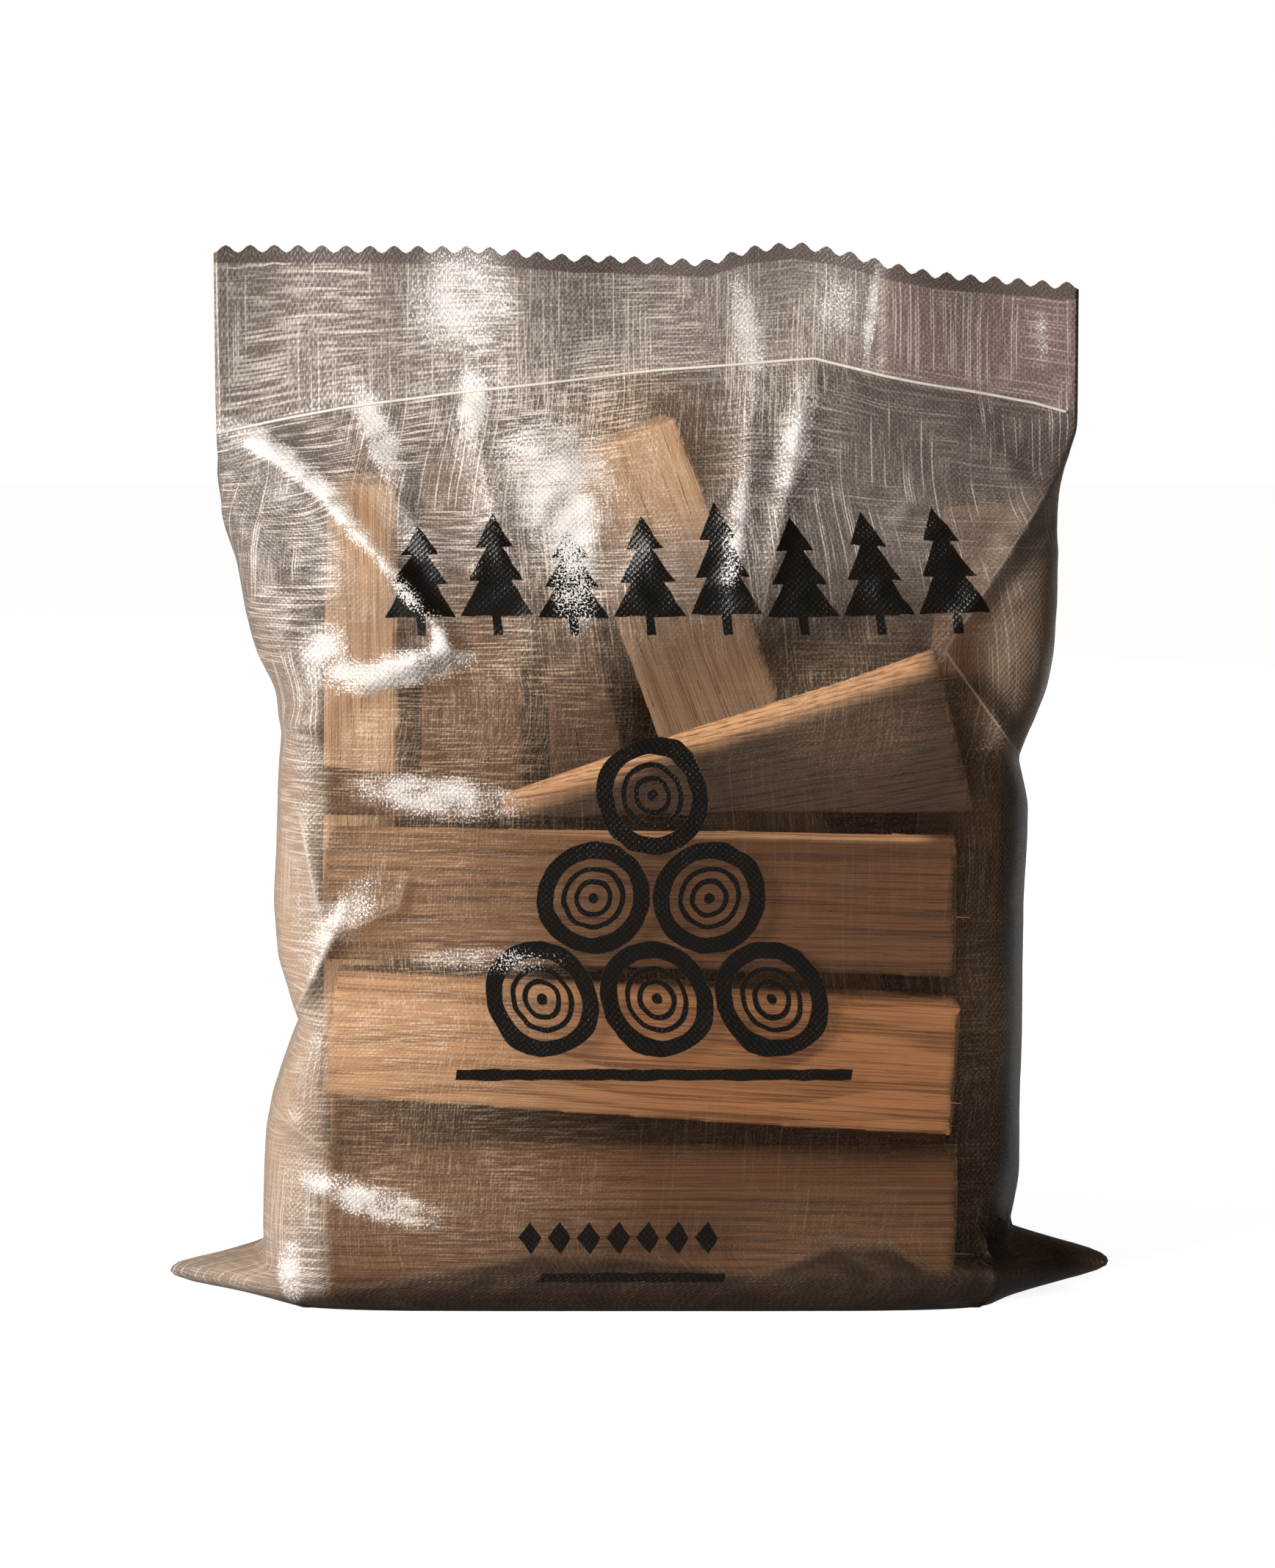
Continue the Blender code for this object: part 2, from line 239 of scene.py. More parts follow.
@dataclass
class Graph:
    """A node tree with short ways to add nodes and join them."""

    tree: bpy.types.NodeTree

    def node(self, kind: str, **settings: object) -> bpy.types.Node:
        """Adds a node and sets its properties.

        Args:
            kind: Node type.
            **settings: Properties of the node.

        Returns:
            The node.
        """
        made = self.tree.nodes.new(kind)
        for name, value in settings.items():
            setattr(made, name, value)
        return made

    def join(self, value: object, target: bpy.types.NodeSocket) -> None:
        """Feeds a socket with a signal, a socket or a constant.

        Args:
            value: What feeds it.
            target: The input socket.
        """
        if isinstance(value, Signal):
            self.tree.links.new(value.socket, target)
        elif isinstance(value, bpy.types.NodeSocket):
            self.tree.links.new(value, target)
        elif isinstance(value, tuple) and len(value) == 3 and target.type == "RGBA":
            target.default_value = (*value, 1.0)
        else:
            target.default_value = value

    def math(self, operation: str, *values: object) -> Signal:
        """Adds a Math node.

        Args:
            operation: Its operation.
            *values: Its inputs in order.

        Returns:
            Its result.
        """
        node = self.node("ShaderNodeMath", operation=operation)
        for value, target in zip(values, node.inputs):
            self.join(value, target)
        return Signal(self, node.outputs[0])

    def parts(self, vector: object) -> tuple[Signal, Signal, Signal]:
        """Splits a vector into its three numbers."""
        node = self.node("ShaderNodeSeparateXYZ")
        self.join(vector, node.inputs[0])
        return tuple(Signal(self, output) for output in node.outputs)

    def vector(self, x: object, y: object, z: object = 0.0) -> Signal:
        """Makes a vector of three numbers."""
        node = self.node("ShaderNodeCombineXYZ")
        for value, target in zip((x, y, z), node.inputs):
            self.join(value, target)
        return Signal(self, node.outputs[0])

    def stretched(self, vector: object, scale: Colour, shift: Colour = (0.0, 0.0, 0.0)) -> Signal:
        """Scales a vector along each axis, then shifts it."""
        node = self.node("ShaderNodeMapping")
        self.join(vector, node.inputs["Vector"])
        node.inputs["Scale"].default_value = scale
        node.inputs["Location"].default_value = shift
        return Signal(self, node.outputs[0])

    def noise(self, vector: object, detail: float, rough: float = 0.5, flat: bool = False) -> Signal:
        """Adds a noise texture.

        Args:
            vector: Where it is read.
            detail: Number of finer layers.
            rough: Strength of the finer layers.
            flat: True where it varies only across and up, as on cloth.

        Returns:
            A number around 0.5.
        """
        node = self.node("ShaderNodeTexNoise", noise_dimensions="2D" if flat else "3D")
        self.join(vector, node.inputs["Vector"])
        node.inputs["Scale"].default_value = 1.0
        node.inputs["Detail"].default_value = detail
        node.inputs["Roughness"].default_value = rough
        return Signal(self, node.outputs["Fac"])

    def tape_noise(self, cloth: object, scale: Pair, detail: float) -> Signal:
        """Noise on flat cloth, drawn out along its threads.

        Args:
            cloth: Flat cloth metres.
            scale: Its scale across and up.
            detail: Number of finer layers.

        Returns:
            A number around 0.5.
        """
        shift = (scale[0] % 7.0, scale[1] % 5.0, 0.0)
        return self.noise(self.stretched(cloth, (*scale, 1.0), shift), detail, flat=True)

    def attribute(self, name: str, output: str = "Fac") -> Signal:
        """Reads a number or vector that a mesh keeps for each vertex."""
        node = self.node("ShaderNodeAttribute", attribute_name=name)
        return Signal(self, node.outputs[output])

    def mix(self, share: object, first: object, second: object) -> Signal:
        """Mixes two colours."""
        node = self.node("ShaderNodeMix", data_type="RGBA")
        self.join(share, node.inputs["Factor"])
        colours = [i for i in node.inputs if i.type == "RGBA"]
        self.join(first, colours[0])
        self.join(second, colours[1])
        return Signal(self, next(o for o in node.outputs if o.type == "RGBA"))

    def bump(self, height: Signal, strength: float, distance: float) -> Signal:
        """Normals of a surface with a height.

        Args:
            height: The height, from 0 to 1.
            strength: How much of it is used.
            distance: Metres that the height 1 stands for.

        Returns:
            The normals.
        """
        node = self.node("ShaderNodeBump")
        node.inputs["Strength"].default_value = strength
        node.inputs["Distance"].default_value = distance
        self.join(height, node.inputs["Height"])
        return Signal(self, node.outputs["Normal"])

    def wire(self, *joints: tuple[bpy.types.Node, str, bpy.types.Node, str]) -> None:
        """Joins outputs to inputs by name.

        Args:
            *joints: Node, its output, next node and its input.
        """
        for source, output, target, entry in joints:
            self.join(source.outputs[output], target.inputs[entry])

    def group(self, tree: bpy.types.NodeTree, **inputs: object) -> dict[str, Signal]:
        """Places a shared group.

        Args:
            tree: The group.
            **inputs: What feeds its inputs, by name with spaces written as underscores.

        Returns:
            Its outputs by name.
        """
        node = self.node("ShaderNodeGroup", node_tree=tree)
        for name, value in inputs.items():
            self.join(value, node.inputs[name.replace("_", " ")])
        return {output.name: Signal(self, output) for output in node.outputs}


def new_tree(
    kind: str, name: str, inputs: dict[str, str], outputs: dict[str, str]
) -> tuple[Graph, dict[str, Signal], bpy.types.Node]:
    """Starts a node group for a material or a modifier.

    Args:
        kind: Shader or Geometry.
        name: Name of the group.
        inputs: Socket type of each named input.
        outputs: Socket type of each named output.

    Returns:
        The graph, its input signals by name, and the node that takes its outputs.
    """
    tree = bpy.data.node_groups.new(name, f"{kind}NodeTree")
    for way, sockets in (("INPUT", inputs), ("OUTPUT", outputs)):
        for label, socket_type in sockets.items():
            tree.interface.new_socket(name=label, in_out=way, socket_type=socket_type)
    graph = Graph(tree)
    source = graph.node("NodeGroupInput")
    given = {socket.name: Signal(graph, socket) for socket in source.outputs if socket.name}
    return graph, given, graph.node("NodeGroupOutput")


def shaped(
    piece: bpy.types.Object, label: str, recipe: bpy.types.NodeTree, inputs: dict[str, object]
) -> bpy.types.Object:
    """Runs a geometry node tree on a piece and keeps the result as plain mesh.

    Args:
        piece: The piece.
        label: Name of the modifier.
        recipe: The tree.
        inputs: Value of each named input.

    Returns:
        The same object.
    """
    modifier = piece.modifiers.new(label, "NODES")
    modifier.node_group = recipe
    keys = {item.name: item.identifier for item in recipe.interface.items_tree}
    for name, value in inputs.items():
        modifier[keys[name]] = value
    return frozen(piece)


def new_material(name: str) -> tuple[bpy.types.Material, Graph, bpy.types.Node]:
    """Starts a Principled material.

    Args:
        name: Name of the material.

    Returns:
        The material, its graph and its Principled shader.
    """
    material = bpy.data.materials.new(name)
    material.use_nodes = True
    return material, Graph(material.node_tree), material.node_tree.nodes["Principled BSDF"]


# Finishes


@dataclass(frozen=True)
class Weave:
    """Fine pale threads along and across the cloth, long stray ones, and a coarse stipple.

    Pitches are flat cloth metres, and each noise has its scale across and up.
    """

    warp_pitch: float = 0.0034
    weft_pitch: float = 0.0032
    stray_pitch: float = 0.0015
    stray_bend: float = 0.004
    warp_noise: Pair = (1100.0, 95.0)
    weft_noise: Pair = (55.0, 900.0)
    bend_noise: Pair = (16.0, 16.0)
    patch_noise: Pair = (24.0, 24.0)
    stipple_noise: Pair = (860.0, 860.0)
    warp_share: float = 0.75
    weft_share: float = 1.30

    def group(self) -> bpy.types.NodeTree:
        """Builds the shared group.

        Returns:
            A group from flat cloth metres to threads, long hairs, stipple and height.
        """
        outputs = dict.fromkeys(("Threads", "Hairs", "Stipple", "Height"), FLOAT)
        graph, given, out = new_tree("Shader", "woven_tape", {"Cloth": VECTOR}, outputs)
        cloth = given["Cloth"]
        across, up, _ = graph.parts(cloth)
        over = graph.math("SINE", across * (math.tau / self.warp_pitch))
        over = over * graph.math("SINE", up * (math.tau / self.weft_pitch))
        crossing = over.absolute().power(0.5)
        patch = graph.tape_noise(cloth, self.patch_noise, 0.0)
        lengthwise = across.rise(-0.03, 0.06, 1.0, 0.45)
        warp = graph.tape_noise(cloth, self.warp_noise, 1.0).rise(0.44, 0.70)
        weft = graph.tape_noise(cloth, self.weft_noise, 1.0).rise(0.44, 0.70)
        warp = warp * patch.rise(0.30, 0.60, 0.35, 1.0)
        weft = weft * patch.rise(0.40, 0.70, 1.0, 0.35) * lengthwise
        threads = (warp * self.warp_share + weft * self.weft_share) * (0.24 + crossing * 0.48)
        bend = (graph.tape_noise(cloth, self.bend_noise, 0.0) - 0.5) * self.stray_bend
        hairs = self._stray(graph, across + bend, up) * patch.rise(0.36, 0.52)
        weft_hairs = self._stray(graph, up + bend, across) * patch.rise(0.42, 0.58, 1.0, 0.0) * lengthwise
        stipple = graph.tape_noise(cloth, self.stipple_noise, 1.0)
        graph.join(threads.at_most(1.0), out.inputs["Threads"])
        graph.join(hairs.at_least(weft_hairs), out.inputs["Hairs"])
        graph.join(stipple, out.inputs["Stipple"])
        graph.join(over * 0.30 + stipple * 0.75, out.inputs["Height"])
        return graph.tree

    def _stray(self, graph: Graph, across: Signal, along: Signal) -> Signal:
        """Straight stray threads of uneven length, side by side.

        Args:
            graph: The group's graph.
            across: Flat cloth metres across the threads.
            along: Flat cloth metres along them.

        Returns:
            1 on a stray thread and 0 between.
        """
        cell = across / self.stray_pitch
        seen = graph.noise(graph.vector(cell.whole() * 0.731, along * 11.0), 0.0, flat=True)
        thin = (cell.part() - 0.5).absolute().rise(0.14, 0.40, 1.0, 0.0)
        return seen.rise(0.56, 0.72) * thin


@dataclass(frozen=True)
class Grain:
    """Growth rings round a pith, and fine fibres and pores along a log.

    Each noise has its scale along the log, in its depth and up it.
    """

    ring_pitch: float = 0.0034
    sway_depth: float = 0.007
    sway_height: float = 0.005
    sway_noise: Colour = (7.0, 22.0, 22.0)
    fibre_noise: Colour = (14.0, 950.0, 950.0)
    tone_noise: Colour = (5.0, 26.0, 26.0)
    tone_shift: Colour = (4.0, 1.0, 2.0)
    # Colour of painted shade on the wood.
    painted_shade: Colour = (0.050, 0.024, 0.013)
    # Grain colours of painted light, pale and dark.
    lit_pale: Colour = (0.50, 0.27, 0.130)
    lit_dark: Colour = (0.20, 0.090, 0.038)
    sawn_pale: Colour = (0.30, 0.17, 0.085)
    sawn_dark: Colour = (0.14, 0.07, 0.033)

    def group(self) -> bpy.types.NodeTree:
        """Builds the shared group.

        Returns:
            A group from a place in the log's own metres to colour, roughness and height.
        """
        inputs = {"Place": VECTOR, "Pith A": FLOAT, "Pith B": FLOAT, "Pale": COLOUR, "Dark": COLOUR}
        inputs |= dict.fromkeys(("Sawn", "Damp", "Fresh"), FLOAT)
        outputs = {"Colour": COLOUR, "Roughness": FLOAT, "Height": FLOAT}
        graph, given, out = new_tree("Shader", "split_wood_grain", inputs, outputs)
        place = given["Place"]
        _, a, b = graph.parts(place)
        sway = graph.noise(graph.stretched(place, self.sway_noise), 0.0) - 0.5
        da = a - given["Pith A"] + sway * self.sway_depth
        db = b - given["Pith B"] + sway * self.sway_height
        ring = (graph.math("SQRT", da * da + db * db) / self.ring_pitch).part()
        late = ring.rise(0.35, 0.92) * (1.0 - ring.rise(0.94, 1.0))
        fibre = graph.noise(graph.stretched(place, self.fibre_noise), 2.0, 0.60)
        tone = graph.noise(graph.stretched(place, self.tone_noise, self.tone_shift), 0.0)
        lines = late * fibre.rise(0.30, 0.62, 0.35, 1.0)
        dark = (lines * 0.75 + fibre.rise(0.46, 0.64) * 0.60).at_most(1.0)
        colour = graph.mix(dark, given["Pale"], given["Dark"])
        colour = graph.mix(tone.rise(0.42, 0.72) * 0.35, colour, given["Dark"])
        # Painted shade: darker where the log is marked as shaded.
        colour = graph.mix(given["Damp"] * 0.72, colour, self.painted_shade)
        # Painted light: grain in bright colours where the log is marked as lit.
        colour = graph.mix(given["Fresh"], colour, graph.mix(dark, self.lit_pale, self.lit_dark))
        sawn = graph.mix(late * 0.55 + fibre * 0.15, self.sawn_pale, self.sawn_dark)
        graph.join(graph.mix(given["Sawn"] * 0.8, colour, sawn), out.inputs["Colour"])
        graph.join(0.62 + fibre * 0.3, out.inputs["Roughness"])
        graph.join(fibre * 0.9, out.inputs["Height"])
        return graph.tree


class SharedEffects:
    """Node groups that more than one material uses."""

    def __init__(self) -> None:
        """Builds each group once."""
        self.weave = Weave().group()
        self.grain = Grain().group()


class WoodTone(Enum):
    """Colours of a log's split faces: pale colour, dark colour. Partly the wood's own tone, partly painted
    light and shade: the brightest tone for logs painted as lit, the darker ones for logs in painted shade.
    """

    BRIGHT = ((0.62, 0.39, 0.225), (0.40, 0.22, 0.115))
    PALE = ((0.285, 0.118, 0.044), (0.118, 0.043, 0.015))
    TAN = ((0.23, 0.098, 0.040), (0.10, 0.039, 0.015))
    BROWN = ((0.108, 0.044, 0.017), (0.046, 0.018, 0.007))
    DARK = ((0.044, 0.022, 0.012), (0.017, 0.009, 0.005))


@dataclass(frozen=True)
class WoodFinish:
    """Split faces, sawn ends and bark of one log."""

    name: str
    tone: WoodTone
    pith: Pair
    bark_noise: Colour = (34.0, 230.0, 230.0)
    bark_pale: Colour = (0.19, 0.125, 0.083)
    bark_dark: Colour = (0.070, 0.045, 0.031)
    relief: float = 0.9 * MM

    def material(self, effects: SharedEffects) -> bpy.types.Material:
        """Builds the log's material.

        Args:
            effects: The shared node groups.

        Returns:
            The material.
        """
        material, graph, shader = new_material(self.name)
        place = graph.attribute("place", "Vector")
        pale, dark = self.tone.value
        grain = graph.group(
            effects.grain, Place=place, Pith_A=self.pith[0], Pith_B=self.pith[1], Pale=pale, Dark=dark,
            Sawn=graph.attribute("sawn"), Damp=graph.attribute("painted_shade"), Fresh=graph.attribute("painted_light"),
        )
        rough = graph.noise(graph.stretched(place, self.bark_noise), 1.0, 0.65)
        cracks = ((rough - 0.5).absolute() * 9.0).at_most(1.0) * 0.75 + rough * 0.5
        bark = graph.attribute("bark")
        bark_colour = graph.mix(cracks.rise(0.15, 0.95), self.bark_dark, self.bark_pale)
        graph.join(graph.mix(bark, grain["Colour"], bark_colour), shader.inputs["Base Color"])
        graph.join((grain["Roughness"] + bark * 0.2).at_most(0.95), shader.inputs["Roughness"])
        graph.join(graph.bump(grain["Height"], 0.7, self.relief), shader.inputs["Normal"])
        shader.inputs["Specular IOR Level"].default_value = 0.25
        return material


@dataclass(frozen=True)
class InkDesign:
    """A generic woodland print: a row of conifers, a pile of log ends and a strip of lozenges.

    Places are flat cloth metres: across from the middle of the front, up from its bottom edge.
    """

    tree_middle: float = 0.020
    tree_base: float = 0.352
    tree_count: int = 8
    tree_pitch: float = 0.0405
    tree_height: float = 0.071
    trunk_half: float = 0.0022
    pile_middle: float = 0.001
    pile_base: float = 0.134
    pile_rows: int = 3
    disc_radius: float = 0.0305
    bark_shares: Pair = (0.83, 0.14)
    ring_shares: Pair = (0.50, 0.29)
    ring_half: float = 0.0012
    pith_radius: float = 0.0026
    ground_drop: float = 0.009
    ground_half: Pair = (0.104, 0.0028)
    strip_middle: float = -0.010
    strip_height: float = 0.040
    lozenge_count: int = 7
    lozenge_pitch: float = 0.0155
    lozenge_half: float = 0.0085
    rule_drop: float = 0.021
    rule_half: Pair = (0.046, 0.0022)
    edge: float = 0.0005
    wobble: float = 0.0012
    wobble_noise: Pair = (120.0, 120.0)

    def mask(self) -> bpy.types.NodeTree:
        """Builds the ink mask.

        Returns:
            A group from flat cloth metres to ink, 0 bare and 1 printed.
        """
        graph, given, out = new_tree("Shader", "front_print", {"Cloth": VECTOR}, {"Ink": FLOAT})
        sway = (graph.tape_noise(given["Cloth"], self.wobble_noise, 0.0) - 0.5) * self.wobble
        across, up, _ = graph.parts(given["Cloth"])
        across, up = across + sway, up + sway
        ink = self._conifers(across, up)
        for row in range(self.pile_rows):
            ink = ink.at_least(self._log_ends(graph, across, up, row))
        ground_level = self.pile_base - self.ground_drop
        ground = self._bar(across - self.pile_middle, up - ground_level, self.ground_half)
        graph.join(ink.at_least(ground).at_least(self._lozenges(across, up)), out.inputs["Ink"])
        return graph.tree

    def _inside(self, distance: Signal, limit: float) -> Signal:
        """1 where a distance is under a limit and 0 past it, with the ink's soft edge."""
        return distance.rise(limit, limit + self.edge, 1.0, 0.0)

    @staticmethod
    def _among(cell: Signal, count: float) -> Signal:
        """1 in the first cells of a row, up to a count of them, and 0 outside."""
        return cell.rise(0.0, 0.01) * cell.rise(count - 0.01, count, 1.0, 0.0)

    def _bar(self, across: Signal, up: Signal, half: Pair) -> Signal:
        """A filled bar round the origin.

        Args:
            across: Distance across from its middle.
            up: Distance up from its middle.
            half: Half its width and half its height.

        Returns:
            1 inside and 0 outside.
        """
        return self._inside(across.absolute(), half[0]) * self._inside(up.absolute(), half[1])

    def _conifers(self, across: Signal, up: Signal) -> Signal:
        """A row of three-tiered conifers of unequal height.

        Args:
            across: Flat place across.
            up: Flat place up.

        Returns:
            The trees' mask.
        """
        count = float(self.tree_count)
        cell = (across - self.tree_middle) / self.tree_pitch + count / 2
        off = ((cell.part() - 0.5) * self.tree_pitch).absolute()
        height = self.tree_height * (0.80 + 0.20 * (cell.whole() * 0.382 + 0.3).part())
        level = (up - self.tree_base) / height
        tier = (level - 0.15) * (3.0 / 0.85)
        number = tier.whole().at_least(0.0).at_most(2.0)
        fall = tier - number
        widest = (1.0 - number * 0.24) * (1.0 - fall) + fall * 0.22 * (2.0 - number)
        crown = self._inside(off - self.tree_pitch * 0.47 * widest, 0.0)
        crown = crown * tier.rise(0.0, 0.03) * tier.rise(2.98, 3.0, 1.0, 0.0)
        trunk = self._inside(off, self.trunk_half) * level.rise(0.0, 0.01) * level.rise(0.2, 0.21, 1.0, 0.0)
        return crown.at_least(trunk) * self._among(cell, count)

    def _log_ends(self, graph: Graph, across: Signal, up: Signal, row: int) -> Signal:
        """One row of the pile of log ends: bark ring, two growth rings and a pith.

        Args:
            graph: The group's graph.
            across: Flat place across.
            up: Flat place up.
            row: Row of the pile, 0 at the bottom.

        Returns:
            The row's mask.
        """
        radius = self.disc_radius
        count = self.pile_rows - row
        cell = (across - self.pile_middle) / (2.0 * radius) + count / 2
        index = cell.whole().at_least(0.0).at_most(count - 1.0)
        x = (cell - index - 0.5) * (2.0 * radius)
        y = up - (self.pile_base + radius * (1.0 + row * math.sqrt(3.0)))
        far = graph.math("SQRT", x * x + y * y)
        bark, half = self.bark_shares
        mask = self._inside((far - radius * bark).absolute(), radius * half)
        for ring in self.ring_shares:
            mask = mask.at_least(self._inside((far - radius * ring).absolute(), self.ring_half))
        return mask.at_least(self._inside(far, self.pith_radius))

    def _lozenges(self, across: Signal, up: Signal) -> Signal:
        """A short strip of lozenges over a thin rule.

        Args:
            across: Flat place across.
            up: Flat place up.

        Returns:
            The strip's mask.
        """
        cell = (across - self.strip_middle) / self.lozenge_pitch + self.lozenge_count / 2
        off = ((cell.part() - 0.5) * self.lozenge_pitch).absolute()
        lozenge = self._inside(off * 1.4 + (up - self.strip_height).absolute(), self.lozenge_half)
        rule_level = self.strip_height - self.rule_drop
        rule = self._bar(across - self.strip_middle, up - rule_level, self.rule_half)
        return (lozenge * self._among(cell, float(self.lozenge_count))).at_least(rule)


@dataclass(frozen=True)
class FilmMarks:
    """What varies over the film, each from 0 to 1."""

    stipple: Signal
    ink: Signal
    painted_glare: Signal
    clear: Signal
    haze: Signal
    tan: Signal
    strip: Signal
    line: Signal
    threads: Signal
    white: Signal
    veil: Signal
    painted_base_shade: Signal


@dataclass(frozen=True)
class FilmFinish:
    """Clear woven film: smoky on its own, clear where it lies on wood, black ink on the front."""

    smoke: Colour = (0.140, 0.110, 0.094)
    on_wood: Colour = (0.065, 0.034, 0.018)
    wood_haze: Colour = (0.42, 0.29, 0.195)
    mauve: Colour = (0.165, 0.110, 0.098)
    thread: Colour = (0.52, 0.46, 0.41)
    thread_on_wood: Colour = (0.60, 0.40, 0.25)
    tan_haze: Colour = (0.255, 0.170, 0.113)
    # Colour of the painted shade at the base of the sack.
    base_shade: Colour = (0.014, 0.008, 0.005)
    hem: Colour = (0.090, 0.070, 0.062)
    ink: Colour = (0.0050, 0.0035, 0.0025)
    # Colour of the painted glare on the folds.
    painted_glare: Colour = (0.66, 0.625, 0.595)
    # Dark colour painted on the film's inside: painted shade standing in for the dark inside of the sack.
    inside_shade: Colour = (0.028, 0.017, 0.012)
    alpha_on_wood: float = 0.04
    alpha_alone: float = 0.55
    alpha_mouth: float = 0.3
    alpha_edge_on: float = 0.15
    alpha_veil: float = 0.58
    alpha_tan: float = 0.45
    alpha_strip: float = 0.95
    lamp_share: float = 0.65
    base_shade_cover: float = 0.92
    white_cover: float = 0.9
    strip_height: float = 0.0085
    strip_edge: float = 0.0012
    line_edge: Pair = (0.0003, 0.0011)
    ragged_noise: Pair = (64.0, 82.0)
    roughness: float = 0.30
    relief: float = 0.5 * MM

    def material(self, effects: SharedEffects, design: InkDesign) -> bpy.types.Material:
        """Builds the film's material.

        Args:
            effects: The shared node groups.
            design: The print on the front.

        Returns:
            The material.
        """
        material, graph, shader = new_material("clear_woven_film")
        cloth = Signal(graph, graph.node("ShaderNodeUVMap", uv_map="cloth").outputs[0])
        weave = graph.group(effects.weave, Cloth=cloth)
        marks = self._marks(graph, cloth, weave, graph.group(design.mask(), Cloth=cloth)["Ink"])
        facing = graph.node("ShaderNodeLayerWeight")
        facing.inputs["Blend"].default_value = 0.35
        path = graph.node("ShaderNodeLightPath")
        cover = self._cover(graph, marks, Signal(graph, facing.outputs["Facing"]))
        cover = cover * (1.0 - Signal(graph, path.outputs["Is Shadow Ray"]) * self.lamp_share)
        # Seen from inside by the camera, the film is made opaque and dark: painted shade for the inside of the
        # sack.
        behind = Signal(graph, graph.node("ShaderNodeNewGeometry").outputs["Backfacing"])
        inside = behind * Signal(graph, path.outputs["Is Camera Ray"])
        graph.join(cover.at_most(1.0).at_least(inside), shader.inputs["Alpha"])
        graph.join(graph.mix(inside, self._colour(graph, marks), self.inside_shade), shader.inputs["Base Color"])
        graph.join(self.roughness + (marks.stipple - 0.5) * 0.25, shader.inputs["Roughness"])
        graph.join(graph.bump(weave["Height"], 0.6, self.relief), shader.inputs["Normal"])
        shader.inputs["Specular IOR Level"].default_value = 0.28
        return material

    def _marks(self, graph: Graph, cloth: Signal, weave: dict[str, Signal], ink: Signal) -> FilmMarks:
        """Gathers what varies over the film.

        Args:
            graph: The material's graph.
            cloth: Flat cloth metres.
            weave: Outputs of the weave.
            ink: The print.

        Returns:
            The film's marks.
        """
        painted_glare, clear, haze, tan = (graph.attribute(name) for name in ("painted_glare", "clear", "haze", "tan"))
        strip = graph.attribute("below_mouth")
        strip = strip.rise(self.strip_height, self.strip_height + self.strip_edge, 1.0, 0.0)
        ragged = graph.tape_noise(cloth, self.ragged_noise, 1.0)
        # Painted glare: stippled white and a soft pale veil where glare is painted on the folds.
        strong = painted_glare + (ragged - 0.5) * 1.1 + weave["Threads"] * 0.12
        white = (weave["Stipple"] + strong * 0.34 - 0.71).rise(-0.03, 0.13) * painted_glare.rise(0.12, 0.40)
        veil = painted_glare.rise(0.15, 0.90) * ragged.rise(0.30, 0.62, 0.4, 1.0)
        # Painted highlight: a fine pale line along the crest of some creases.
        line = graph.attribute("fold_offset").absolute().rise(*self.line_edge, 1.0, 0.0)
        line = line * graph.attribute("fold_strength")
        bare = clear * (1.0 - haze) * 0.22
        # Threads show brighter in the painted glare.
        threads = weave["Threads"] * (0.48 - bare + haze * 0.85 + painted_glare * 0.6)
        threads = threads + weave["Stipple"].rise(0.50, 0.66) * (0.13 + haze * 0.18)
        threads = threads + weave["Hairs"] * (0.14 + (1.0 - clear) * 0.42)
        threads = (threads * (1.0 - strip * 0.6) * (1.0 - tan * 0.5)).at_least(line).at_most(1.0)
        # Painted shade: dark at the base of the sack, below a line.
        painted_base_shade = graph.attribute("painted_base_shade") * ragged.rise(0.30, 0.62, self.base_shade_cover, 1.0)
        return FilmMarks(
            weave["Stipple"], ink, painted_glare, clear, haze, tan, strip, line, threads, white * self.white_cover,
            veil, painted_base_shade * self.base_shade_cover,
        )

    def _cover(self, graph: Graph, marks: FilmMarks, edge_on: Signal) -> Signal:
        """How much the film hides what is behind it.

        Args:
            graph: The material's graph.
            marks: The film's marks.
            edge_on: How much the film is seen from its edge.

        Returns:
            The alpha, before it is kept under 1.
        """
        solid = 1.0 - marks.clear
        alpha = self.alpha_on_wood + (self.alpha_alone - self.alpha_on_wood) * solid
        alpha = alpha + graph.attribute("above_seam") * self.alpha_mouth
        alpha = alpha + edge_on * self.alpha_edge_on * solid
        pale = (marks.haze + marks.painted_glare + marks.line).at_most(1.0)
        alpha = alpha + marks.threads * (0.12 + solid * 0.34 + pale * 0.40)
        alpha = alpha + marks.haze * 0.10 + marks.veil * self.alpha_veil + marks.tan * solid * self.alpha_tan
        alpha = alpha.at_least(marks.painted_base_shade).at_least(marks.ink)
        return alpha.at_least(marks.strip * self.alpha_strip).at_least(marks.white)

    def _colour(self, graph: Graph, marks: FilmMarks) -> Signal:
        """Colour of the film's outside.

        Args:
            graph: The material's graph.
            marks: The film's marks.

        Returns:
            The colour.
        """
        colour = graph.mix(graph.attribute("overlap"), self.smoke, self.mauve)
        colour = graph.mix(marks.tan, colour, self.tan_haze)
        colour = graph.mix(marks.clear, colour, graph.mix(marks.haze, self.on_wood, self.wood_haze))
        thread = graph.mix(marks.clear * 0.85, self.thread, self.thread_on_wood)
        colour = graph.mix(marks.threads, colour, thread)
        # Painted shade at the base.
        colour = graph.mix(marks.painted_base_shade, colour, self.base_shade)
        mottle = marks.stipple.rise(0.34, 0.60, 0.45, 1.0) * (1.0 - marks.painted_glare * 0.6)
        colour = graph.mix(marks.strip * mottle, colour, self.hem)
        colour = graph.mix(marks.ink, colour, self.ink)
        # Painted glare over the colour: the stippled white over the ink too, the veil beside the ink.
        return graph.mix(marks.white.at_least(marks.veil * (1.0 - marks.ink) * 0.66), colour, self.painted_glare)


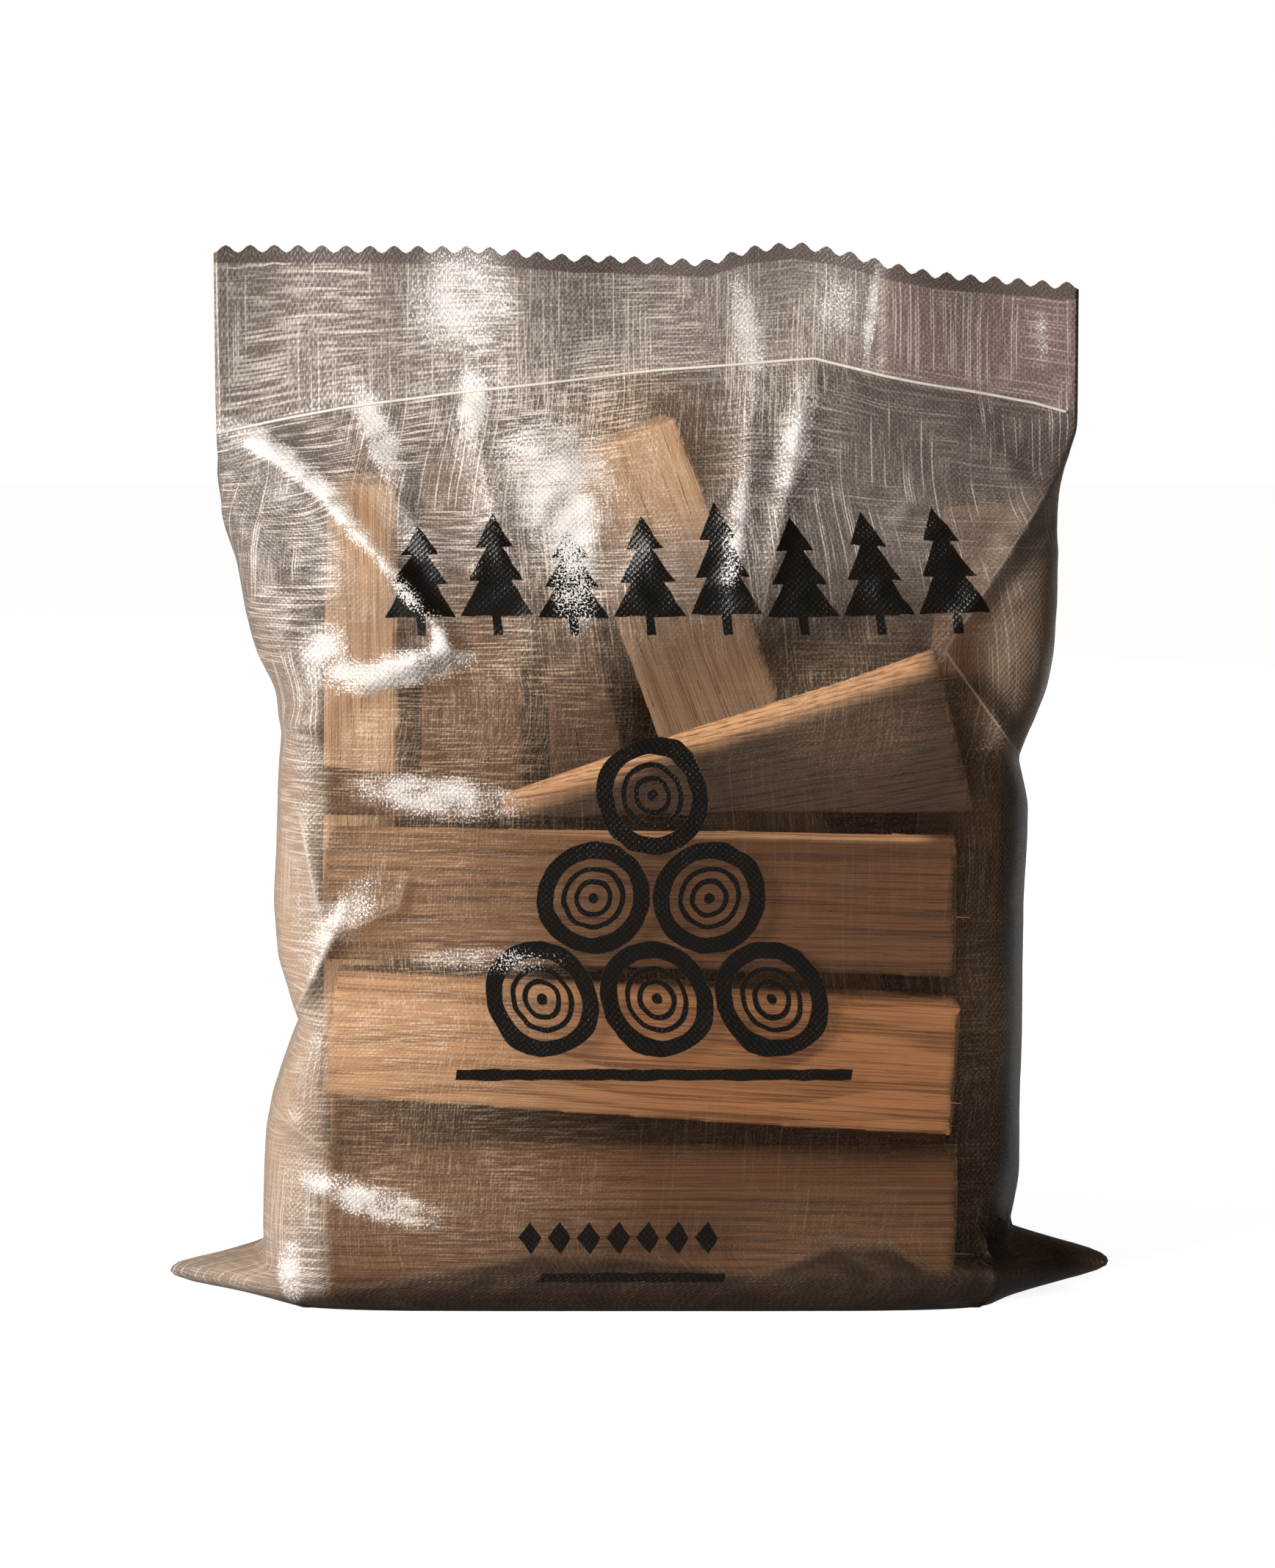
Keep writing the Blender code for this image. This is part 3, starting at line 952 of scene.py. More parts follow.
@dataclass(frozen=True)
class SeamFinish:
    """The pale, solid plastic of the weld that closes the sack."""

    colour: Colour = (0.66, 0.61, 0.56)
    shaded: Colour = (0.50, 0.45, 0.41)

    def material(self, effects: SharedEffects) -> bpy.types.Material:
        """Builds the weld's material.

        Args:
            effects: The shared node groups.

        Returns:
            The material.
        """
        material, graph, shader = new_material("weld_bead")
        place = Signal(graph, graph.node("ShaderNodeTexCoord").outputs["Object"])
        weave = graph.group(effects.weave, Cloth=place)
        shade = weave["Stipple"].rise(0.3, 0.7, 0.0, 0.6)
        graph.join(graph.mix(shade, self.colour, self.shaded), shader.inputs["Base Color"])
        graph.join(0.35 + weave["Stipple"] * 0.2, shader.inputs["Roughness"])
        return material


# The sack


@dataclass(frozen=True)
class Crease:
    """A straight ridge or valley in the film, in front-view metres, with a fine painted highlight line on its
    crest.
    """

    start: Pair
    end: Pair
    height: float
    width: float
    line: float = 0.0
    line_reach: float = 0.008
    line_fade: float = 0.006

    def relief(self, x: np.ndarray, z: np.ndarray) -> np.ndarray:
        """How far the crease lifts the film.

        Args:
            x: Places across.
            z: Places up.

        Returns:
            The lift at each place.
        """
        a, b = np.array(self.start), np.array(self.end)
        along = ((x - a[0]) * (b - a)[0] + (z - a[1]) * (b - a)[1]) / ((b - a) @ (b - a))
        share = np.clip(along, 0.0, 1.0)
        off = np.hypot(x - (a[0] + share * (b - a)[0]), z - (a[1] + share * (b - a)[1]))
        crest = np.clip(1.0 - off / self.width, 0.0, 1.0) ** 1.4
        return self.height * crest * np.sqrt(np.clip(4.0 * share * (1.0 - share) + 0.15, 0.0, 1.0))

    def beside(self, x: np.ndarray, z: np.ndarray) -> tuple[np.ndarray, np.ndarray]:
        """Signed distance to the side of the line, and how strongly it shows there.

        Args:
            x: Places across.
            z: Places up.

        Returns:
            The distance, and the strength, which fades past the ends.
        """
        a, b = np.array(self.start), np.array(self.end)
        length = np.linalg.norm(b - a)
        way = (b - a) / length
        along = (x - a[0]) * way[0] + (z - a[1]) * way[1]
        side = (x - a[0]) * way[1] - (z - a[1]) * way[0]
        past = np.maximum(np.maximum(-along, along - length), 0.0)
        near = np.abs(side) < self.line_reach
        return side, self.line * np.clip(1.0 - past / self.line_fade, 0.0, 1.0) * near


@dataclass(frozen=True)
class Patch:
    """A soft oval on the film, in front-view metres: a dent, a patch of painted glare, or a patch of haze, tan
    or clear film.
    """

    middle: Pair
    radii: Pair
    turn: float
    amount: float

    def spread(self, x: np.ndarray, z: np.ndarray) -> np.ndarray:
        """Strength of the patch, fading to 0 at its edge.

        Args:
            x: Places across.
            z: Places up.

        Returns:
            The strength at each place.
        """
        angle = math.radians(self.turn)
        dx, dz = x - self.middle[0], z - self.middle[1]
        u = (dx * math.cos(angle) + dz * math.sin(angle)) / self.radii[0]
        v = (-dx * math.sin(angle) + dz * math.cos(angle)) / self.radii[1]
        return self.amount * np.clip(1.35 - np.hypot(u, v), 0.0, 1.0)


@dataclass
class SackShape:
    """Rings of the filled sack, from its base to its mouth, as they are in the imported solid."""

    seam_level: float = 0.489
    mouth_level: float = 0.5474
    sag_start: float = 0.36
    fin_start: float = 0.42
    fin_wave: float = 0.0045
    ear_root_depth: float = 0.86
    ear_root_reach: float = 0.94
    ring_steps: int = 721
    rings: tuple[tuple[float, ...], ...] = (
        (0.0000, -0.1830, 0.1850, 0.0600, 6.0),
        (0.0030, -0.1900, 0.1920, 0.0665, 6.0),
        (0.0080, -0.1940, 0.1955, 0.0695, 6.0),
        (0.0130, -0.1955, 0.1965, 0.0710, 6.0),
        (0.0180, -0.1965, 0.1970, 0.0720, 6.0),
        (0.0215, -0.1970, 0.1965, 0.0725, 6.0),
        (0.0250, -0.1970, 0.1955, 0.0725, 6.0),
        (0.0300, -0.1972, 0.1945, 0.0730, 6.0),
        (0.0360, -0.1974, 0.1935, 0.0730, 6.0),
        (0.0450, -0.1973, 0.1955, 0.0730, 6.0),
        (0.0650, -0.1968, 0.1990, 0.0725, 6.0),
        (0.0880, -0.1955, 0.1990, 0.0695, 6.0),
        (0.1100, -0.1910, 0.1990, 0.0715, 6.5),
        (0.1310, -0.1835, 0.1992, 0.0725, 8.0),
        (0.1465, -0.1767, 0.1994, 0.0720, 9.0),
        (0.1620, -0.1822, 0.1996, 0.0695, 8.0),
        (0.1800, -0.1885, 0.1998, 0.0700, 6.5),
        (0.2080, -0.1905, 0.2002, 0.0725, 6.0),
        (0.2360, -0.1892, 0.2018, 0.0720, 6.0),
        (0.2600, -0.1885, 0.2022, 0.0685, 6.0),
        (0.2740, -0.1880, 0.1990, 0.0675, 6.5),
        (0.2860, -0.1870, 0.1957, 0.0670, 7.0),
        (0.3007, -0.1850, 0.2039, 0.0665, 6.0),
        (0.3200, -0.1890, 0.2112, 0.0645, 5.5),
        (0.3390, -0.1985, 0.2150, 0.0620, 5.0),
        (0.3600, -0.2045, 0.2165, 0.0585, 4.5),
        (0.3900, -0.2090, 0.2165, 0.0530, 4.0),
        (0.4150, -0.2145, 0.2160, 0.0470, 3.4),
        (0.4350, -0.2165, 0.2165, 0.0400, 3.0),
        (0.4530, -0.2170, 0.2190, 0.0325, 2.7),
        (0.4680, -0.2178, 0.2235, 0.0235, 2.4),
        (0.4800, -0.2187, 0.2266, 0.0130, 2.2),
        (0.4890, -0.2190, 0.2268, 0.0034, 2.0),
        (0.4980, -0.2192, 0.2268, 0.0012, 2.0),
        (0.5474, -0.2196, 0.2268, 0.0010, 2.0),
    )
    seam_line: tuple[Pair, ...] = (
        (-0.2190, 0.4505), (-0.1530, 0.4638), (-0.0850, 0.4727), (0.0120, 0.4831),
        (0.0910, 0.4892), (0.1240, 0.4811), (0.1560, 0.4750), (0.2040, 0.4665), (0.2268, 0.4600),
    )
    mouth_line: tuple[Pair, ...] = (
        (-0.2196, 0.5474), (-0.0800, 0.5470), (-0.0340, 0.5428), (0.0350, 0.5400), (0.0570, 0.5470),
        (0.0800, 0.5494), (0.1030, 0.5459), (0.1260, 0.5400), (0.1490, 0.5350), (0.1720, 0.5324),
        (0.2180, 0.5286), (0.2268, 0.5286),
    )
    left_ear: tuple[Pair, ...] = (
        (0.0000, 0.2200), (0.0030, 0.2380), (0.0060, 0.2465), (0.0090, 0.2480), (0.0130, 0.2440),
        (0.0175, 0.2270), (0.0215, 0.2040), (0.0260, 0.1972),
    )
    right_ear: tuple[Pair, ...] = (
        (0.0000, 0.2030), (0.0030, 0.2220), (0.0070, 0.2390), (0.0110, 0.2470), (0.0150, 0.2480),
        (0.0185, 0.2440), (0.0220, 0.2360), (0.0260, 0.2220), (0.0310, 0.1975), (0.0400, 0.1955),
    )

    @staticmethod
    def line_at(line: tuple[Pair, ...], place: np.ndarray) -> np.ndarray:
        """Second number of a line of points, read at the first."""
        return np.interp(place, [p[0] for p in line], [p[1] for p in line])

    def sizes(self, levels: np.ndarray) -> np.ndarray:
        """Left edge, right edge, half depth and squareness at each level.

        Args:
            levels: Levels, rising evenly.

        Returns:
            One row for each level.
        """
        table = np.array(self.rings)
        rows = np.stack([np.interp(levels, table[:, 0], table[:, i]) for i in range(1, 5)], axis=1)
        soft = blurred(rows, 1.3)
        soft[:, 2] = np.where(levels > self.seam_level - 0.004, rows[:, 2], soft[:, 2])
        return soft

    def _to_ear(
        self, across: np.ndarray, out: np.ndarray, level: float, edge: float, depth: float, side: int
    ) -> np.ndarray:
        """Draws one side of a half ring out to the fold of a bottom ear.

        Args:
            across: Places across.
            out: Distance out from the sack's middle plane.
            level: Level of the ring.
            edge: Where the ring's side would be without an ear.
            depth: Half depth of the ring.
            side: -1 for the left ear and 1 for the right.

        Returns:
            The new places across.
        """
        ear = self.left_ear if side < 0 else self.right_ear
        if level > ear[-1][0]:
            return across
        reach = self.line_at(ear, level)
        crease = reach - (reach - self.ear_root_reach * abs(edge)) * np.clip(
            out / (self.ear_root_depth * depth), 0.0, 1.0
        )
        on_side = (across * side > 0) & (out < self.ear_root_depth * depth)
        return np.where(on_side, side * np.maximum(crease, across * side), across)

    def half_ring(self, level: float, sizes: np.ndarray, columns: int) -> tuple[np.ndarray, np.ndarray]:
        """Half a ring from the left fold round the front to the right fold.

        Args:
            level: Its level.
            sizes: Left edge, right edge, half depth and squareness.
            columns: Number of equal steps along the cloth.

        Returns:
            Places across, and distances out from the middle plane.
        """
        left, right, depth, squareness = sizes
        turn = np.linspace(0.0, math.pi, self.ring_steps)
        across = -np.sign(np.cos(turn)) * np.abs(np.cos(turn)) ** (2.0 / squareness)
        across = np.where(across < 0, -across * left, across * right)
        out = depth * np.abs(np.sin(turn)) ** (2.0 / squareness)
        across = self._to_ear(across, out, level, left, depth, -1)
        across = self._to_ear(across, out, level, right, depth, 1)
        travelled = np.concatenate([[0.0], np.cumsum(np.hypot(np.diff(across), np.diff(out)))])
        wanted = np.linspace(0.0, travelled[-1], columns + 1)
        return np.interp(wanted, travelled, across), np.interp(wanted, travelled, out)


@dataclass
class Sack:
    """The woven film, its closing seam, its folds and its pinked mouth."""

    shape: SackShape = field(default_factory=SackShape)
    panel_columns: int = 216
    tooth_columns: int = 6
    wall_rows: int = 206
    base_rows: int = 12
    tooth_rows: int = 3
    panel_width: float = 0.51
    base_fold: float = 0.0625
    floor_gap: float = 0.0002
    tooth_height: float = 0.0040
    layer_gap: float = 0.9 * MM
    pull_in: float = 6.0 * MM
    ray_start: float = 12.0 * MM
    ray_length: float = 34.0 * MM
    no_wood: float = -1.0
    seam_margin: float = 12.0 * MM
    settle_steps: int = 260
    settle_share: float = 0.012
    fold_gain: float = 1.4
    crumple: float = 2.4 * MM
    most_out: float = 7.0 * MM
    cling_reach: float = 5.0 * MM
    cling_edge: Pair = (-0.171, -0.158)
    loose_edge: Pair = (-0.168, -0.156)
    pleat_place: float = 0.1225
    pleat_step: float = 0.0018
    pleat_width: float = 0.005
    bead_inset: int = 3
    bead_lift: float = 0.0004
    bead_radius: float = 0.0008
    # Creases with a line strength carry a painted highlight along their crest.
    creases: tuple[Crease, ...] = (
        Crease((-0.2150, 0.4560), (-0.1660, 0.4240), 5.0 * MM, 0.015),
        Crease((-0.1660, 0.4240), (-0.1250, 0.3820), 6.0 * MM, 0.014),
        Crease((-0.1250, 0.3820), (-0.0960, 0.3460), 5.0 * MM, 0.012),
        Crease((-0.0960, 0.3460), (-0.1640, 0.3200), 4.0 * MM, 0.013),
        Crease((0.2180, 0.4350), (0.1560, 0.3440), 3.5 * MM, 0.012, 0.35),
        Crease((0.1560, 0.3440), (0.1960, 0.2880), 4.0 * MM, 0.012, 0.45),
        Crease((-0.0880, 0.3480), (-0.1850, 0.3020), 3.0 * MM, 0.014),
        Crease((-0.1780, 0.1560), (-0.1560, 0.1990), 4.0 * MM, 0.010, 0.45),
        Crease((-0.1640, 0.2050), (-0.1740, 0.2560), 3.0 * MM, 0.010, 0.35),
        Crease((-0.1560, 0.1990), (-0.1240, 0.2120), 3.0 * MM, 0.010, 0.50),
        Crease((-0.1740, 0.1640), (-0.1500, 0.2160), 2.0 * MM, 0.007, 0.35),
        Crease((-0.1500, 0.4600), (-0.0960, 0.3800), 2.5 * MM, 0.012),
        Crease((-0.0880, 0.4680), (-0.0700, 0.3900), 3.0 * MM, 0.014),
        Crease((0.0600, 0.4820), (0.0480, 0.3700), 3.0 * MM, 0.014),
        Crease((0.0880, 0.4860), (0.0620, 0.3600), 2.5 * MM, 0.010, 0.30),
        Crease((-0.1240, 0.2120), (-0.1200, 0.2260), 3.0 * MM, 0.008, 0.45),
        Crease((-0.1900, 0.1040), (-0.1580, 0.0820), 2.0 * MM, 0.009, 0.30),
        Crease((-0.1720, 0.0680), (-0.0860, 0.0520), 2.0 * MM, 0.009, 0.35),
        Crease((-0.1900, 0.3060), (-0.1180, 0.3000), 3.0 * MM, 0.010),
        Crease((0.2000, 0.2900), (0.1300, 0.3000), 2.5 * MM, 0.012),
    )
    dents: tuple[Patch, ...] = (
        Patch((-0.1150, 0.3400), (0.055, 0.030), 0.0, -5.0 * MM),
        Patch((-0.1700, 0.4000), (0.030, 0.045), 10.0, -4.0 * MM),
        Patch((-0.0200, 0.4100), (0.035, 0.050), 0.0, -3.0 * MM),
        Patch((0.1100, 0.4200), (0.050, 0.040), 0.0, -3.0 * MM),
        Patch((0.0400, 0.3100), (0.060, 0.025), 20.0, -3.0 * MM),
    )
    # Patches of painted glare on the folds.
    glare_patches: tuple[Patch, ...] = (
        Patch((-0.1250, 0.3330), (0.042, 0.0095), 9.0, 1.05),
        Patch((-0.1620, 0.3440), (0.014, 0.0150), 0.0, 0.80),
        Patch((-0.2000, 0.4480), (0.024, 0.0075), -26.0, 0.74),
        Patch((-0.1680, 0.4280), (0.022, 0.0068), -40.0, 0.68),
        Patch((-0.1440, 0.4030), (0.026, 0.0060), -47.0, 0.62),
        Patch((-0.1180, 0.3720), (0.022, 0.0050), -52.0, 0.60),
        Patch((-0.1020, 0.3500), (0.005, 0.0130), 8.0, 0.80),
        Patch((-0.1030, 0.2690), (0.046, 0.0120), -6.0, 0.85),
        Patch((-0.1380, 0.0590), (0.036, 0.0100), -17.0, 0.95),
        Patch((-0.1800, 0.0200), (0.008, 0.0180), 0.0, 0.70),
        Patch((-0.0920, 0.5180), (0.030, 0.0330), 0.0, 0.66),
        Patch((-0.1356, 0.4540), (0.009, 0.0300), 28.0, 0.78),
        Patch((-0.0857, 0.4660), (0.009, 0.0170), 0.0, 0.88),
        Patch((-0.0433, 0.4270), (0.032, 0.0360), 20.0, 0.74),
        Patch((-0.0330, 0.3820), (0.012, 0.0340), 0.0, 0.74),
        Patch((0.0560, 0.5000), (0.009, 0.0380), 8.0, 0.62),
        Patch((0.0800, 0.4520), (0.010, 0.0340), -12.0, 0.56),
        Patch((0.0500, 0.4050), (0.008, 0.0340), -10.0, 0.56),
        Patch((0.1000, 0.5150), (0.020, 0.0200), 30.0, 0.42),
        Patch((0.1195, 0.5120), (0.003, 0.0300), -6.0, 0.60),
        Patch((0.2080, 0.5000), (0.005, 0.0200), 0.0, 0.40),
        Patch((-0.1530, 0.2060), (0.013, 0.0320), -40.0, 0.60),
        Patch((-0.0800, 0.1850), (0.044, 0.0080), 0.0, 0.52),
        Patch((0.1850, 0.3050), (0.008, 0.0200), -35.0, 0.22),
    )
    hazy: tuple[Patch, ...] = (
        Patch((-0.1250, 0.2150), (0.080, 0.0900), 0.0, 0.55),
        Patch((-0.1250, 0.1400), (0.085, 0.0400), 0.0, 0.58),
        Patch((-0.0400, 0.4150), (0.060, 0.0800), 0.0, 0.80),
        Patch((-0.1500, 0.3900), (0.060, 0.0450), -40.0, 0.40),
        Patch((-0.0500, 0.4900), (0.140, 0.0600), 0.0, 0.45),
        Patch((0.0700, 0.4500), (0.030, 0.0700), -10.0, 0.70),
        Patch((-0.0750, 0.3120), (0.060, 0.0400), 0.0, 0.55),
        Patch((0.0900, 0.3300), (0.060, 0.0180), 22.0, 0.42),
        Patch((0.1150, 0.3050), (0.050, 0.0280), 10.0, 0.32),
        Patch((0.1900, 0.1600), (0.028, 0.1300), 0.0, 0.42),
        Patch((-0.1400, 0.3000), (0.020, 0.0260), 0.0, 0.60),
        Patch((-0.1100, 0.0650), (0.090, 0.0450), 0.0, 0.60),
        Patch((0.1000, 0.0350), (0.060, 0.0300), 0.0, 0.25),
    )
    warm: tuple[Patch, ...] = (
        Patch((-0.2050, 0.1600), (0.055, 0.180), 0.0, 1.20),
        Patch((0.2050, 0.3350), (0.045, 0.080), -12.0, 0.90),
        Patch((0.2020, 0.1500), (0.024, 0.130), 0.0, 1.00),
    )
    pressed: tuple[Patch, ...] = (
        Patch((0.0040, 0.4360), (0.040, 0.0420), -20.0, 0.85),
        Patch((-0.1400, 0.3950), (0.016, 0.0500), 0.0, 0.80),
        Patch((-0.1400, 0.3000), (0.018, 0.0300), 0.0, 0.75),
        Patch((0.0450, 0.3550), (0.012, 0.0500), 0.0, 0.50),
    )
    # Top edge of the painted shade at the base.
    base_shade_line: tuple[Pair, ...] = (
        (-0.2400, -0.010), (-0.1900, 0.003), (-0.1650, 0.009), (-0.0550, 0.032), (0.0000, 0.030),
        (0.0600, 0.020), (0.1000, 0.036), (0.1300, 0.036), (0.1500, 0.022), (0.2400, 0.010),
    )

    def __post_init__(self) -> None:
        """Works out the rows' levels and the number of columns."""
        self.columns = 2 * self.panel_columns
        self.levels = np.linspace(0.0, self.shape.mouth_level, self.wall_rows)

    def _tube(self) -> np.ndarray:
        """The wall of the sack before it is drawn over the logs.

        Returns:
            Points by row and column, from the base up.
        """
        shape = self.shape
        rows = []
        for level, sizes in zip(self.levels, shape.sizes(self.levels)):
            across, out = shape.half_ring(level, sizes, self.panel_columns)
            x = np.concatenate([across, across[-2:0:-1]])
            y = np.concatenate([-out, out[-2:0:-1]])
            seam = shape.line_at(shape.seam_line, x)
            if level <= shape.seam_level:
                z = level + smooth_rise(shape.sag_start, shape.seam_level, level) * (seam - shape.seam_level)
            else:
                share = (level - shape.seam_level) / (shape.mouth_level - shape.seam_level)
                z = seam + share * (shape.line_at(shape.mouth_line, x) - seam)
            wave = shape.fin_wave * smooth_rise(shape.fin_start, shape.mouth_level, level)
            y = y + wave * (np.sin(x * 31.0 + 0.6) + 0.5 * np.sin(x * 67.0 + 2.0))
            rows.append(np.stack([x, y, z], axis=1))
        return np.array(rows)

    @staticmethod
    def _outward(points: np.ndarray) -> np.ndarray:
        """Unit normals of a tube of points, pointing out."""
        around = np.roll(points, -1, axis=1) - np.roll(points, 1, axis=1)
        up = np.gradient(points, axis=0)
        normal = np.cross(around, up)
        return normal / np.maximum(np.linalg.norm(normal, axis=2, keepdims=True), 1e-9)

    def _supports(self, points: np.ndarray, normals: np.ndarray, wood: BVHTree) -> np.ndarray:
        """How far out of the tube the wood stands under each point.

        Args:
            points: Points of the tube.
            normals: Its outward normals.
            wood: All logs.

        Returns:
            Least offset that keeps the film off the wood, by row and column, or no_wood.
        """
        least = np.full(points.shape[:2], self.no_wood)
        for i, level in enumerate(self.levels):
            if not 0.001 < level < self.shape.seam_level - self.seam_margin:
                continue
            for j in range(self.columns):
                normal = Vector(normals[i, j])
                origin = Vector(points[i, j]) + normal * self.ray_start
                hit = wood.ray_cast(origin, -normal, self.ray_length)
                if hit[0] is not None:
                    least[i, j] = self.ray_start - hit[3] + self.layer_gap
        return least

    def _settled(self, least: np.ndarray, normals: np.ndarray) -> np.ndarray:
        """Draws the film in like a tight skin over the wood.

        Args:
            least: Least offset at each point.
            normals: Outward normals.

        Returns:
            Offset at each point.
        """
        level = self.levels[:, None]
        body = smooth_rise(0.004, 0.03, level) * (1.0 - 0.75 * smooth_rise(0.30, 0.42, level))
        body = body * (1.0 - smooth_rise(self.shape.seam_level - 0.05, self.shape.seam_level - 0.01, level))
        goal = -self.pull_in * body * np.abs(normals[:, :, 1]) ** 0.6
        offset = np.maximum(goal, least)
        for _ in range(self.settle_steps):
            up, down = np.roll(offset, -1, axis=0), np.roll(offset, 1, axis=0)
            up[-1], down[0] = offset[-1], offset[0]
            spread = (np.roll(offset, 1, axis=1) + np.roll(offset, -1, axis=1) + up + down) / 4.0
            offset = np.maximum(spread + self.settle_share * (goal - spread), least)
            offset[0] = 0.0
            offset[level[:, 0] > self.shape.seam_level - 0.008] = 0.0
        return offset

    def _relief(self, points: np.ndarray) -> np.ndarray:
        """Folds, dents and crumpling, by row and column.

        Args:
            points: Points of the tube.

        Returns:
            Offset at each point.
        """
        x, z = points[:, :, 0], points[:, :, 2]
        front = np.arange(self.columns)[None, :] <= self.panel_columns
        lift = sum(crease.relief(x, z) for crease in self.creases)
        lift = lift + sum(dent.spread(x, z) for dent in self.dents)
        back = sum(crease.relief(-x - 0.01, z * 0.98) for crease in self.creases) * 0.8
        lift = np.where(front, lift, back)
        crumple = np.zeros(x.shape)
        for i in range(x.shape[0]):
            for j in range(x.shape[1]):
                x0, y0, z0 = points[i, j]
                place = Vector((x0 * 17.0, y0 * 17.0 + 3.0, z0 * 21.0))
                fold = 1.0 - abs(noise.noise(place)) * 2.6
                fine = 1.0 - abs(noise.noise(place * 2.7)) * 2.6
                crumple[i, j] = 0.6 * fold + 0.3 * fine
        level = self.levels[:, None]
        loose = 0.35 + 0.9 * smooth_rise(0.26, 0.36, level) * (1.0 - 0.6 * smooth_rise(0.48, 0.50, level))
        side = np.abs(self._outward(points)[:, :, 1])
        folds = lift * smooth_rise(0.0, 0.05, level)
        seam = self.shape.seam_level
        quiet = 1.0 - smooth_rise(seam - self.seam_margin, seam - 0.002, level)
        crumple = crumple * self.crumple * loose * (0.3 + 0.7 * quiet)
        return (folds * quiet * self.fold_gain + crumple) * (0.35 + 0.65 * side)

    def _with_mouth(self, points: np.ndarray) -> np.ndarray:
        """Presses the mouth's two panels together, adds the pleat and pinks the top edge.

        Args:
            points: Points of the tube.

        Returns:
            The new points.
        """
        seam = self.shape.seam_level
        above = smooth_rise(seam - 0.002, seam + 0.006, self.levels[:, None])
        past = points[:, :, 0] - self.pleat_place
        ramp = smooth_rise(self.pleat_place, self.pleat_place + self.pleat_width, points[:, :, 0])
        points[:, :, 1] -= self.pleat_step * (ramp - 0.5) * above * (1.0 - smooth_rise(0.03, 0.10, past))
        column = np.arange(self.columns) % self.tooth_columns
        rise = 0.5 - 0.5 * np.cos(math.tau * column / self.tooth_columns)
        mouth = self.shape.line_at(self.shape.mouth_line, points[-1, :, 0])
        top = mouth - self.tooth_height * (1.0 - rise)
        count = self.tooth_rows
        start = points[-count - 1, :, 2]
        for k in range(1, count + 1):
            points[-count - 1 + k, :, 2] = start + (top - start) * k / count
        return points

    def _base(self, ring: np.ndarray) -> np.ndarray:
        """The base, from the bottom seam on the middle plane out to the lowest ring.

        Args:
            ring: The lowest ring of the wall.

        Returns:
            Rows of points, not counting the ring.
        """
        rows = []
        for k in range(self.base_rows):
            share = k / self.base_rows
            row = ring.copy()
            row[:, 1] *= share
            row[:, 2] = self.floor_gap + 0.0004 * (1.0 - share)
            rows.append(row)
        return np.array(rows)

    def build(self, wood: BVHTree, finish: bpy.types.Material) -> bpy.types.Object:
        """Builds the film.

        Args:
            wood: All logs.
            finish: The film's material.

        Returns:
            The film.
        """
        tube = self._tube()
        normals = self._outward(tube)
        least = self._supports(tube, normals, wood)
        offset = self._settled(least, normals)
        offset = np.maximum(offset + self._relief(tube), least)
        offset = np.clip(offset, None, np.maximum(self.most_out, least))
        wall = tube + normals * offset[:, :, None]
        wall = self._with_mouth(wall)
        wall[:, :, 2] = np.maximum(wall[:, :, 2], self.floor_gap)
        gap = np.where(least > self.no_wood, offset - least, 1.0)
        self.wall, self.normals = wall, self._outward(wall)
        points = np.concatenate([self._base(wall[0]), wall])
        mesh = self._mesh(points)
        self._keep_attributes(mesh, wall, gap)
        self._weld_bottom(mesh)
        mesh.shade_smooth()
        return add_piece("sack_film", mesh, finish)

    def _mesh(self, points: np.ndarray) -> bpy.types.Mesh:
        """Joins the rows of points with faces and lays the flat cloth out as UVs.

        Args:
            points: All points by row and column.

        Returns:
            The mesh.
        """
        rows, columns = points.shape[:2]
        i, j = np.meshgrid(np.arange(rows - 1), np.arange(columns), indexing="ij")
        right = (j + 1) % columns
        low, high = i * columns, (i + 1) * columns
        corners = np.stack([low + j, low + right, high + right, high + j], -1)
        mesh = bpy.data.meshes.new("sack_film")
        mesh.from_pydata(points.reshape(-1, 3).tolist(), [], corners.reshape(-1, 4).tolist())
        base = np.linspace(-self.base_fold, 0.0, self.base_rows, endpoint=False)
        up = np.concatenate([base, self.levels])
        across = (np.arange(columns + 1) / self.panel_columns - 0.5) * self.panel_width
        u = np.stack([across[j], across[j + 1], across[j + 1], across[j]], -1)
        v = np.stack([up[i], up[i], up[i + 1], up[i + 1]], -1)
        layer = mesh.uv_layers.new(name="cloth")
        layer.data.foreach_set("uv", np.stack([u, v], -1).astype(np.float32).ravel())
        return mesh

    def _keep_attributes(self, mesh: bpy.types.Mesh, wall: np.ndarray, gap: np.ndarray) -> None:
        """Stores what the film's material reads at each vertex.

        Args:
            mesh: The film's mesh.
            wall: Points of the wall.
            gap: Distance from the film to the wood behind it.
        """
        x, z = wall[:, :, 0], wall[:, :, 2]
        level = np.broadcast_to(self.levels[:, None], x.shape)
        front = (np.arange(self.columns) <= self.panel_columns)[None, :]
        # Painted glare: the patches, and a painted highlight along the crests of the creases.
        crest = sum((crease.relief(x, z) / crease.height) ** 3 for crease in self.creases) * 0.16
        white = np.clip(sum(patch.spread(x, z) for patch in self.glare_patches) + crest, 0.0, 1.0)
